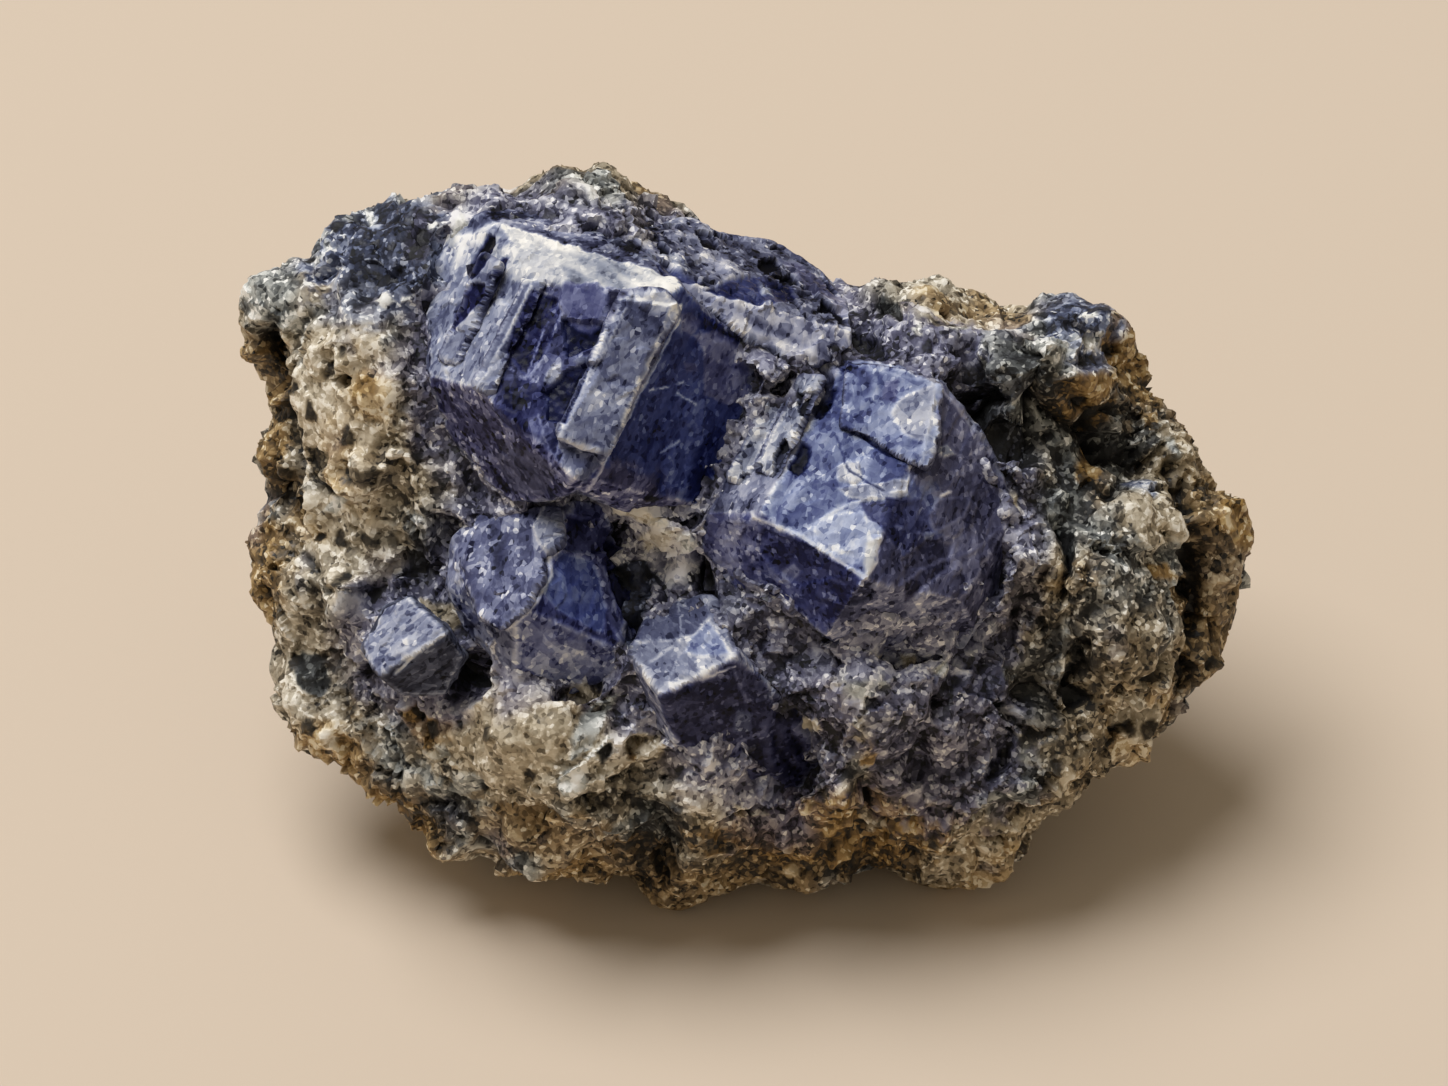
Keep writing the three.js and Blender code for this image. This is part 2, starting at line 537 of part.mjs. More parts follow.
const crystals = [
  { name: "main_crystal", shape: MAIN_CRYSTAL, material: IOLITE },
  { name: "right_crystal", shape: RIGHT_CRYSTAL, material: FROSTED_IOLITE },
  { name: "lower_crystal", shape: LOWER_CRYSTAL, material: IOLITE },
  { name: "left_crystal", shape: LEFT_CRYSTAL, material: FROSTED_IOLITE },
  { name: "foot_crystal", shape: FOOT_CRYSTAL, material: FROSTED_IOLITE },
];
const shapes = crystals.map(({ shape }) => shape);

const specimen = new THREE.Group();
specimen.add(piece("gneiss_matrix", gneissSolid(shapes), GNEISS));
crystals.forEach(({ name, shape, material }, i) => {
  specimen.add(piece(name, crystalSolid(shape, shapes.slice(0, i)), material));
});
specimen.rotation.x = THREE.MathUtils.degToRad(90 - FACE_ELEVATION);
specimen.position.set(CENTRE_SHIFT.x, CENTRE_SHIFT.y, REST_DEPTH);

export default specimen;
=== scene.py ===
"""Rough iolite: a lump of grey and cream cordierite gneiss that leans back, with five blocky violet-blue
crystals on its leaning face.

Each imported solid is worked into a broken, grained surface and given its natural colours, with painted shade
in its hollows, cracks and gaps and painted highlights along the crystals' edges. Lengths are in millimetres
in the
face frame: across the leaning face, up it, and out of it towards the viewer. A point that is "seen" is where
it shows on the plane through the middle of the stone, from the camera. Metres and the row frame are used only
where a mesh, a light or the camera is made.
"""

import math

import bmesh
import bpy
import numpy as np
from mathutils import Matrix, Vector
from mathutils.bvhtree import BVHTree


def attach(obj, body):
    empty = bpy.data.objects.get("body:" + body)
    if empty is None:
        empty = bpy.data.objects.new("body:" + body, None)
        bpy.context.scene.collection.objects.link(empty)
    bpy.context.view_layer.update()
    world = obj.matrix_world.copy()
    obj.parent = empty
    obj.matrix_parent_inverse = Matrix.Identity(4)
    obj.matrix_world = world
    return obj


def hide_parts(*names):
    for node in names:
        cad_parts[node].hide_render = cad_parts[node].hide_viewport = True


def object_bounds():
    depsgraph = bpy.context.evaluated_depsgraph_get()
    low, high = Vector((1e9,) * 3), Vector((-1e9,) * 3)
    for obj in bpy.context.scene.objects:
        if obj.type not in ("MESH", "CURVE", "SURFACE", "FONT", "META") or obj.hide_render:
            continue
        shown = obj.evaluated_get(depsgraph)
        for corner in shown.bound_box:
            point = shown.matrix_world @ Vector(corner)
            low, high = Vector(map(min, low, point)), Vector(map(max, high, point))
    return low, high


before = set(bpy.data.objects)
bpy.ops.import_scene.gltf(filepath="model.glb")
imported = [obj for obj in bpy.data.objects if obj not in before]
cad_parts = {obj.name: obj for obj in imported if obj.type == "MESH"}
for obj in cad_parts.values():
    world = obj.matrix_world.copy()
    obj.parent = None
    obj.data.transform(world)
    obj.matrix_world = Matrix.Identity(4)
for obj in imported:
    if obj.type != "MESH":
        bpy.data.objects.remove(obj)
cad_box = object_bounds()

# The face frame and the camera

MM = 0.001
LEAN = math.radians(42)
FACE_MIDDLE = np.array([-0.1, -0.2, 18.6])
FACE_AXES = np.array([[1, 0, 0], [0, math.sin(LEAN), math.cos(LEAN)], [0, -math.cos(LEAN), math.sin(LEAN)]])
CAMERA = np.array([-1.4, -0.2, 500.0])
SENSOR = 36.0
LENS = 198.9
CLIP_START, CLIP_END = 0.05, 10.0

# How fine each mesh is, and how it is smoothed and thinned

GNEISS_GRID = 0.245
GNEISS_FACES = 196000
BACK_DETAIL = 0.3
TURNED_AWAY = -0.1
MOSTLY_COVERED = 0.5
SKIN_GRID = {
    "main_crystal": 0.15,
    "right_crystal": 0.14,
    "lower_crystal": 0.13,
    "left_crystal": 0.12,
    "foot_crystal": 0.13,
}
BURIED_WITHIN = 0.42
BURIED_TURN = 0.3
BURIED_SAVING = 0.9
SHARP_ANGLE = math.radians(32)
WELD = 1e-6
TINY = 1e-12
FAR = 99.0
HALF_WAY = 0.5
GROUND_ROUNDS, NORMAL_ROUNDS, PROUD_ROUNDS, SKIN_ROUNDS = 8, 4, 14, 2

# How the crystals sit in the gneiss, and where it creeps over them: seen middle, half lengths, turn, how far.
# Here and below a noise or cell pattern is its size, its fixed seed and, for rough noise, its layers.

GROWN_FAST = 0.3
UNION_GROWTH = 0.45
SINK_SHARE, SINK_LEAST, SINK_MOST = 0.75, 0.3, 2.2
COVERED_NEAR = (1.1, 0.6)
COVERED_DEPTH = (0.0, 0.6)
COVERED_CALM = 0.6
CREEP_NOISE = (2.2, 95, 2)
CREEP_LEAST, CREEP_RANGE, CREEP_LIFT, CREEP_TOP = 0.35, 0.9, 0.3, 2
CREEP_EDGE, CREEP_RAGGED = (1.6, 91, 2), 0.5
CREEPS = [
    ((7.0, -6.4), (8.0, 2.6), -8, 3.2), ((1.0, -4.0), (4.0, 1.4), -30, 1.4),
    ((14.0, -4.6), (2.4, 3.0), 30, 2.6), ((2.6, 9.6), (3.6, 1.6), -10, 1.4),
    ((12.6, 8.6), (2.2, 1.6), -50, 0.9), ((-17.6, 3.6), (2.2, 3.0), -40, 1.0),
    ((-13.0, 20.0), (4.0, 1.0), 0, 1.2), ((0.0, -14.4), (3.6, 2.2), -50, 2.6),
    ((2.6, -9.0), (2.4, 2.2), -40, 1.4), ((-6.2, -1.6), (1.4, 2.4), 30, 1.2),
    ((-17.0, -5.8), (2.2, 1.6), -50, 0.8), ((-19.0, -8.8), (1.8, 1.0), 0, 0.7),
    ((-23.6, -5.4), (1.1, 2.2), 30, 1.6), ((2.6, 17.8), (3.4, 1.6), -24, 1.6),
    ((5.6, 13.0), (1.6, 2.6), 20, 1.4),
]
FLAT_SPOT_CALM = (0.15, 2.2)

# The forms of the gneiss surface, and how far they stand out or sink in

GNEISS_FACING = (-0.25, 0.2)
LUMPS, LUMP_HEIGHT = (6.5, 1, 2), 0.55
KNOBS, KNOB_HEIGHT = (4.2, 21), 0.14
KNOB_CREASE, KNOB_LEVEL = 0.42, 0.6
KNOB_WARP, KNOB_WARP_NOISE = 0.5, (2.4, 11)
BUMPS, BUMP_HEIGHT = (3.2, 5, 2), 0.45
CHIP_SIZE, CHIP_SEED, CHIP_TILT = 2.2, 51, 0.30
BULGE_CALM = 0.7
GRAIN_SIZE, GRAIN_SEED, GRAIN_TILT = 0.85, 61, 0.22
GRIT, GRIT_HEIGHT = (0.5, 71), 0.06
PITS, PIT_EDGE, PIT_DEPTH = (1.1, 31, 2), (0.58, 1.0), 0.6
PIT_COUNTRY, PIT_COUNTRY_EDGE, FEWEST_PITS = (7.0, 33), (-0.25, 0.5), 0.25
BED_SLOPE = np.array([0.42, -0.80, 0.42])
BED_STEP, BED_HEIGHT = 1.15, 0.3
FOLDS, FOLD_HEIGHT = (9.0, 41), 2.2
SMALL_FOLDS, SMALL_FOLD_HEIGHT = (3.0, 42), 0.5
BEDDED_PART, BEDDED_EDGE = (11.0, 43), (0.0, 0.5)
HOLLOW_EDGE = (1.8, 81, 2)
RISE_REACH = 1.1
CREASE_BEND, CREASE_BEND_NOISE = 0.5, (1.8, 151)
CREASE_VARIES, CREASE_NOISE = 0.4, (1.5, 155)
INWARD_SHIFT = 0.18

# The colours of the gneiss away from its named patches, as masks that its material reads by name

TINTS_OF_GNEISS = ("cream", "rust", "violet", "navy")
MASKS_OF_GNEISS = ("light", "contrast", *TINTS_OF_GNEISS)
DRIFT, DRIFT_LIGHT = (9.0, 101, 3), 0.10
BLOTCH, BLOTCH_LIGHT = (3.6, 111, 3), 0.10
STAIN = (6.0, 121, 3)
BODY_LIGHT = 0.47
WEATHERED_DEPTH, WEATHERED_BEHIND = (7.0, -3.0), 0.35
CREAM_EDGE, CREAM_WEATHERED = (-0.1, 0.55), 0.7
RUST_EDGE, RUST_WEATHERED, RUST_MOST = (0.1, 0.9), 0.6, 0.8
VIOLET_EDGE, VIOLET_MOST = (0.35, 0.75), 0.4
NAVY_EDGE, NAVY_MOST, NAVY_SHADE = (0.6, 0.9), 0.35, 0.2
HALO_REACH, HALO_BLOTCH, HALO_VIOLET = (3.4, 0.8), 1.2, 0.85
HALO_CREAM_LOSS, HALO_RUST_LOSS = 0.7, 0.9
PATCH_WAVE, PATCH_WAVE_NOISE = 0.7, (2.2, 131, 3)
PATCH_GRAIN, PATCH_GRAINS = 0.9, (0.7, 133)
MOTTLE, MOTTLE_LIGHT = (1.3, 141), 0.12
CREASE_SHADE = 0.18
# Painted shade in sunk places and painted light on proud ones, by how far each point stands out of its
# smoothed surroundings: gain, and the least and most
RELIEF_SHADE, RELIEF_SHADE_LIMITS = 0.52, (-0.45, 0.14)

# How soft the borders of patches, lines and outlines are

PATCH_EDGE, PATCH_RAGGED = (1.2, 0.72), 0.42
LINE_EDGE = (1.6, 0.4)
OUTLINE_MARGIN = 0.5

# Colour patches of the gneiss: mask, seen middle, half lengths, turn in degrees, value. Dark light patches
# that lie over hollows are painted shade.

GNEISS_PATCHES = [
    # left knob and the dark blue granular patch beside it
    ("light", (-29.6, 15.2), (2.6, 2.4), 30, 0.56), ("navy", (-22.9, 17.9), (4.4, 4.0), 35, 1.0),
    ("light", (-22.9, 18.2), (4.0, 3.6), 35, 0.27), ("light", (-26.6, 16.8), (1.6, 2.6), -20, 0.60),
    ("light", (-22.6, 13.6), (3.4, 1.3), 10, 0.62), ("navy", (-24.8, 14.8), (2.0, 1.6), 0, 0.7),
    # cream mass down the left side
    ("cream", (-24.8, 8.4), (4.4, 6.2), -8, 0.95), ("light", (-25.0, 8.6), (3.6, 5.4), -8, 0.72),
    ("contrast", (-25.2, 8.6), (3.0, 4.6), -8, 0.85), ("rust", (-23.3, 9.2), (1.5, 1.6), 0, 0.55),
    ("cream", (-24.4, 0.6), (3.6, 4.6), -12, 0.8), ("light", (-24.9, 0.8), (2.8, 3.8), -12, 0.72),
    ("cream", (-20.6, 11.2), (1.8, 3.4), 0, 0.7), ("light", (-20.4, 11.0), (1.4, 3.2), 0, 0.42),
    ("light", (-19.6, 3.6), (2.4, 3.6), 12, 0.42), ("contrast", (-19.6, 3.6), (2.6, 3.8), 12, 1.25),
    ("light", (-20.9, -1.6), (1.6, 2.8), 20, 0.30), ("light", (-22.4, -0.4), (1.3, 2.2), 20, 0.6),
    # brown weathered layer behind the left rim
    ("rust", (-30.6, 7.2), (1.6, 6.2), -4, 0.75), ("cream", (-30.6, 7.2), (1.8, 6.4), -4, 0.9),
    # the light patches at (-30.2, 11.2) and (-29.9, 3.4) lie over hollows: painted shade
    ("light", (-30.2, 11.2), (1.1, 2.0), 0, 0.26), ("rust", (-30.6, -1.6), (1.5, 3.6), 8, 0.8),
    ("light", (-29.9, 3.4), (1.2, 1.6), 0, 0.24), ("cream", (-28.6, -3.4), (2.4, 5.6), 8, 0.7),
    # foliated lower left corner
    ("cream", (-27.4, -9.2), (3.4, 5.2), 24, 0.75), ("light", (-27.4, -9.2), (3.0, 5.0), 24, 0.74),
    ("rust", (-26.2, -13.0), (2.6, 1.4), -35, 0.75), ("light", (-27.4, -9.0), (0.7, 0.9), 0, 0.95),
    ("light", (-24.0, -9.5), (1.4, 5.2), 24, 0.44), ("light", (-20.4, -17.0), (3.6, 1.9), -20, 0.24),
    ("light", (-20.6, -14.2), (2.0, 2.6), 20, 0.46), ("rust", (-19.6, -11.4), (1.6, 1.5), 0, 0.6),
    # cream ground below the lower crystal
    ("cream", (-14.6, -12.4), (6.4, 4.2), -10, 1.0), ("light", (-14.8, -12.2), (5.6, 3.4), -10, 0.62),
    ("contrast", (-14.8, -12.2), (5.2, 3.2), -10, 0.75), ("cream", (-8.2, -14.8), (4.0, 3.2), 0, 0.8),
    ("light", (-8.4, -13.6), (2.6, 1.5), 30, 0.74), ("light", (-11.6, -16.6), (4.6, 1.6), -8, 0.44),
    ("light", (-9.7, -11.9), (1.5, 0.7), 45, 0.85), ("rust", (-13.0, -18.6), (5.0, 1.8), -10, 0.6),
    ("cream", (-1.6, -16.0), (3.2, 2.8), 0, 0.95), ("light", (-1.8, -15.6), (2.6, 2.0), 0, 0.68),
    # the light patch at (-5.3, -19.4) lies over a hollow: painted shade
    ("light", (-5.3, -19.4), (2.8, 3.2), 10, 0.20), ("light", (-7.4, -16.6), (1.6, 1.0), 0, 0.25),
    # brown flaky ground along the bottom edge
    ("cream", (6.8, -17.6), (9.0, 3.6), 4, 0.85), ("rust", (5.6, -18.4), (8.0, 3.0), 4, 0.9),
    ("light", (4.0, -20.0), (9.0, 2.2), 0, 0.28),
    ("light", (5.4, -15.6), (2.8, 2.8), 10, 0.44), ("light", (14.8, -19.6), (3.6, 2.0), 8, 0.56),
    ("cream", (15.0, -19.4), (3.8, 2.2), 8, 1.0), ("rust", (-4.0, -21.6), (10.0, 1.4), 0, 0.6),
    # dark folded mass at the lower right, with pale grains above it
    ("light", (19.8, -9.2), (6.4, 7.4), 20, 0.33), ("rust", (19.8, -9.2), (6.4, 7.4), 20, 0.1),
    ("light", (23.6, -3.2), (3.6, 4.6), 10, 0.42),
    ("contrast", (23.6, -3.2), (3.8, 4.8), 10, 1.3), ("violet", (12.2, -12.4), (6.2, 5.4), 20, 0.8),
    ("light", (12.0, -12.4), (5.6, 5.0), 20, 0.33), ("cream", (25.6, -12.2), (3.2, 3.8), 20, 0.95),
    ("light", (25.4, -12.0), (2.6, 3.2), 20, 0.66), ("rust", (25.4, -12.0), (2.6, 3.2), 20, 0.6),
    ("contrast", (25.4, -12.0), (2.6, 3.2), 20, 1.35), ("cream", (22.4, -16.6), (4.6, 1.8), 28, 0.8),
    ("light", (22.4, -16.6), (4.2, 1.4), 28, 0.52), ("cream", (17.2, -5.0), (2.0, 2.2), 0, 0.7),
    # ochre and cream grains near the right edge
    ("cream", (25.4, 1.6), (2.4, 1.8), 0, 1.0), ("light", (25.4, 1.6), (2.0, 1.4), 0, 0.60),
    ("rust", (29.4, 1.2), (2.0, 1.8), 0, 1.0), ("rust", (21.5, 4.4), (0.9, 0.9), 0, 1.0),
    ("rust", (21.4, 8.8), (1.8, 2.0), 0, 0.95), ("light", (21.4, 8.8), (1.6, 1.8), 0, 0.55),
    ("light", (23.6, 6.8), (2.4, 2.6), 0, 0.24), ("rust", (23.6, 6.8), (2.6, 2.8), 0, 0.0),
    ("cream", (23.6, 6.8), (2.6, 2.8), 0, 0.1), ("contrast", (23.6, 6.8), (2.6, 2.8), 0, 1.2),
    ("light", (24.9, 3.6), (0.9, 1.3), 0, 0.72), ("rust", (24.2, 11.4), (1.5, 4.2), 12, 0.85),
    ("rust", (28.6, -3.4), (1.9, 7.8), 0, 0.6), ("light", (28.6, -3.4), (1.7, 7.4), 0, 0.34),
    # navy patches, pale grains, and painted shade over the hollows of the upper right
    ("navy", (20.8, 14.0), (2.6, 1.5), -8, 1.0), ("light", (20.8, 14.0), (2.4, 1.3), -8, 0.42),
    ("navy", (21.4, 11.2), (1.4, 1.0), 0, 0.9), ("light", (19.6, 12.2), (2.6, 1.2), 0, 0.62),
    ("light", (19.4, 5.6), (4.4, 4.6), 10, 0.25), ("contrast", (19.4, 5.6), (4.4, 4.6), 10, 1.15),
    ("light", (16.6, 8.6), (3.2, 2.8), 0, 0.2), ("violet", (9.6, 12.2), (5.4, 2.2), -6, 0.9),
    ("light", (9.0, 12.2), (5.0, 2.0), -6, 0.33), ("light", (11.2, 12.0), (1.4, 1.2), 0, 0.52),
    # banded saddle above the right crystal
    ("cream", (12.6, 15.0), (6.2, 1.9), -4, 0.75), ("light", (12.4, 15.2), (5.6, 1.5), -4, 0.52),
    ("rust", (15.6, 14.8), (2.2, 1.3), -20, 0.6), ("cream", (7.6, 15.0), (2.4, 1.4), 0, 0.5),
    # grey ground above the main crystal
    ("light", (-10.6, 22.0), (7.0, 2.4), 0, 0.40), ("light", (-9.7, 22.2), (0.8, 0.45), -25, 1.0),
    ("light", (-4.0, 20.0), (3.0, 1.8), -20, 0.34), ("light", (-15.6, 21.4), (2.6, 1.0), 0, 0.34),
    # hollows and flakes between the crystals, with painted shade over the hollows at (-9.0, 0.2) and (-3.0,
    # -2.6)
    ("light", (-6.4, -0.6), (4.0, 2.4), -20, 0.60), ("light", (-7.0, 1.7), (2.1, 0.8), -6, 0.96),
    ("cream", (-6.2, 0.4), (3.4, 1.8), -10, 0.6), ("light", (-9.0, 0.2), (1.4, 0.8), 0, 0.14),
    ("light", (-4.6, -1.0), (2.0, 1.7), 0, 0.86), ("contrast", (-5.2, -0.4), (3.0, 2.6), 0, 1.3),
    ("violet", (9.5, -5.6), (6.5, 3.4), 0, 0.9), ("cream", (9.5, -5.6), (6.5, 3.4), 0, 0.1),
    ("rust", (9.5, -5.6), (6.5, 3.4), 0, 0.0), ("light", (9.5, -5.6), (5.6, 2.8), 0, 0.50),
    ("light", (10.4, -7.7), (2.8, 0.9), 6, 0.68),
    ("violet", (1.8, -6.8), (4.4, 4.0), -20, 0.8), ("light", (1.8, -6.6), (4.0, 3.4), -20, 0.36),
    ("light", (-3.0, -2.6), (0.9, 1.9), 30, 0.1), ("violet", (3.6, -11.4), (3.4, 5.0), 10, 0.8),
    ("light", (3.6, -12.0), (3.0, 4.2), 10, 0.26), ("light", (7.2, -9.4), (3.6, 1.6), -10, 0.46),
]

# Hollows sunk into the gneiss: seen middle, half lengths, turn, depth

GNEISS_HOLLOWS = [
    ((-24.9, 10.0), (0.55, 0.5), 0, 1.3), ((-25.6, 11.4), (0.35, 0.6), 20, 0.8),
    ((-30.2, 10.6), (0.8, 1.6), 0, 1.4), ((-30.0, 3.2), (0.9, 1.4), 0, 1.2),
    ((-8.6, 0.0), (1.6, 1.0), 0, 1.6), ((-3.0, -2.4), (0.7, 1.9), 32, 1.5),
    ((14.8, 8.4), (1.2, 1.6), 0, 1.2), ((18.4, 8.0), (1.2, 2.0), 10, 1.4),
    ((16.4, 4.0), (0.7, 2.4), 25, 1.0), ((15.6, -1.0), (0.7, 2.4), -10, 1.0),
    ((-18.4, -0.2), (1.2, 1.8), 25, 1.6), ((-17.2, -8.6), (1.2, 1.6), 0, 1.8),
    ((-19.6, -6.0), (1.2, 0.8), 0, 0.9), ((-5.4, -19.0), (1.8, 2.0), 0, 1.1),
    ((-6.8, -12.9), (0.7, 0.5), 0, 0.9), ((-9.6, -16.6), (1.1, 0.6), 0, 0.8),
    ((24.6, -15.6), (1.4, 0.7), 20, 1.3), ((16.2, -12.8), (0.8, 2.4), -20, 1.0),
    ((20.8, -7.6), (0.7, 1.8), -20, 0.9), ((22.0, 5.6), (1.6, 0.9), 20, 1.1),
]

# Creases of the gneiss: seen points, half width, depth

GNEISS_CREASES = [
    ([(-30.2, 12.8), (-29.2, 9.4), (-28.2, 6.6), (-28.0, 4.2), (-28.6, 2.4)], 0.8, 1.1),
    ([(-27.6, 2.0), (-26.8, -1.4), (-27.0, -5.0)], 0.5, 0.4),
    ([(-19.3, 14.6), (-19.2, 11.0), (-18.4, 7.2), (-17.4, 4.2), (-16.6, 1.4)], 0.6, 0.5),
    ([(-22.4, 4.2), (-21.8, 1.2), (-20.4, -1.2), (-20.8, -3.8), (-19.2, -6.2)], 0.9, 0.6),
    ([(-24.4, -9.4), (-23.2, -11.2), (-22.2, -13.8), (-21.8, -16.4)], 0.4, 0.4),
    ([(19.0, 9.6), (20.6, 7.6), (22.2, 5.8), (24.4, 4.6)], 1.0, 1.3),
    ([(27.0, 4.4), (27.8, 1.2), (28.2, -3.8), (27.4, -8.8), (25.9, -13.6)], 0.7, 1.2),
    ([(13.7, 9.6), (14.8, 7.0), (15.9, 6.2)], 1.0, 1.2),
    ([(17.2, 11.8), (18.3, 10.6), (18.1, 6.8), (17.8, 5.6)], 0.9, 1.2),
    ([(19.6, 1.2), (19.9, -1.2), (19.6, -3.8)], 0.5, 1.0),
    ([(14.4, -3.6), (13.8, -6.2), (12.8, -9.4), (10.2, -14.8)], 0.5, 0.6),
    ([(16.4, -10.0), (18.4, -9.4), (20.8, -10.4)], 0.7, 0.6),
    ([(7.8, -15.8), (7.1, -18.2), (5.8, -19.4)], 0.5, 0.6),
    ([(-6.6, -15.6), (-6.0, -18.2), (-6.2, -21.2)], 0.9, 0.4),
    ([(-11.8, -9.8), (-9.8, -9.4), (-9.0, -8.0)], 0.4, 0.7),
    ([(-18.6, -7.4), (-17.2, -9.0), (-18.2, -9.6)], 0.7, 1.1),
]

# Parts of the gneiss that bulge: seen middle, half lengths, turn, height

GNEISS_RISES = [
    ((-24.9, 8.8), (3.2, 5.6), -8, 0.9), ((-24.8, 0.6), (2.6, 4.0), -12, 0.8),
    ((-29.4, 15.2), (2.4, 2.2), 30, 0.6), ((-14.6, -12.4), (5.6, 3.0), -10, 0.7),
    ((24.6, 1.2), (2.8, 1.8), 0, 0.8), ((23.4, -5.0), (2.8, 3.6), 10, 0.7),
    ((21.2, 9.0), (1.6, 1.8), 0, 0.8), ((30.2, 0.4), (1.8, 2.4), 0, 0.6),
    ((26.0, -11.6), (1.6, 3.0), 10, 0.6), ((-24.0, -5.2), (1.4, 2.6), 30, 1.3),
    ((16.2, 1.8), (1.8, 3.4), 10, 0.7), ((-1.8, -15.6), (2.4, 1.6), 0, 0.6),
    ((5.0, -17.6), (1.6, 2.4), -20, 0.6), ((11.4, -15.2), (3.6, 1.6), 24, 0.5),
    ((-27.2, -10.4), (1.6, 2.6), 20, 0.6), ((-9.4, -12.6), (1.8, 1.4), 40, 0.5),
]
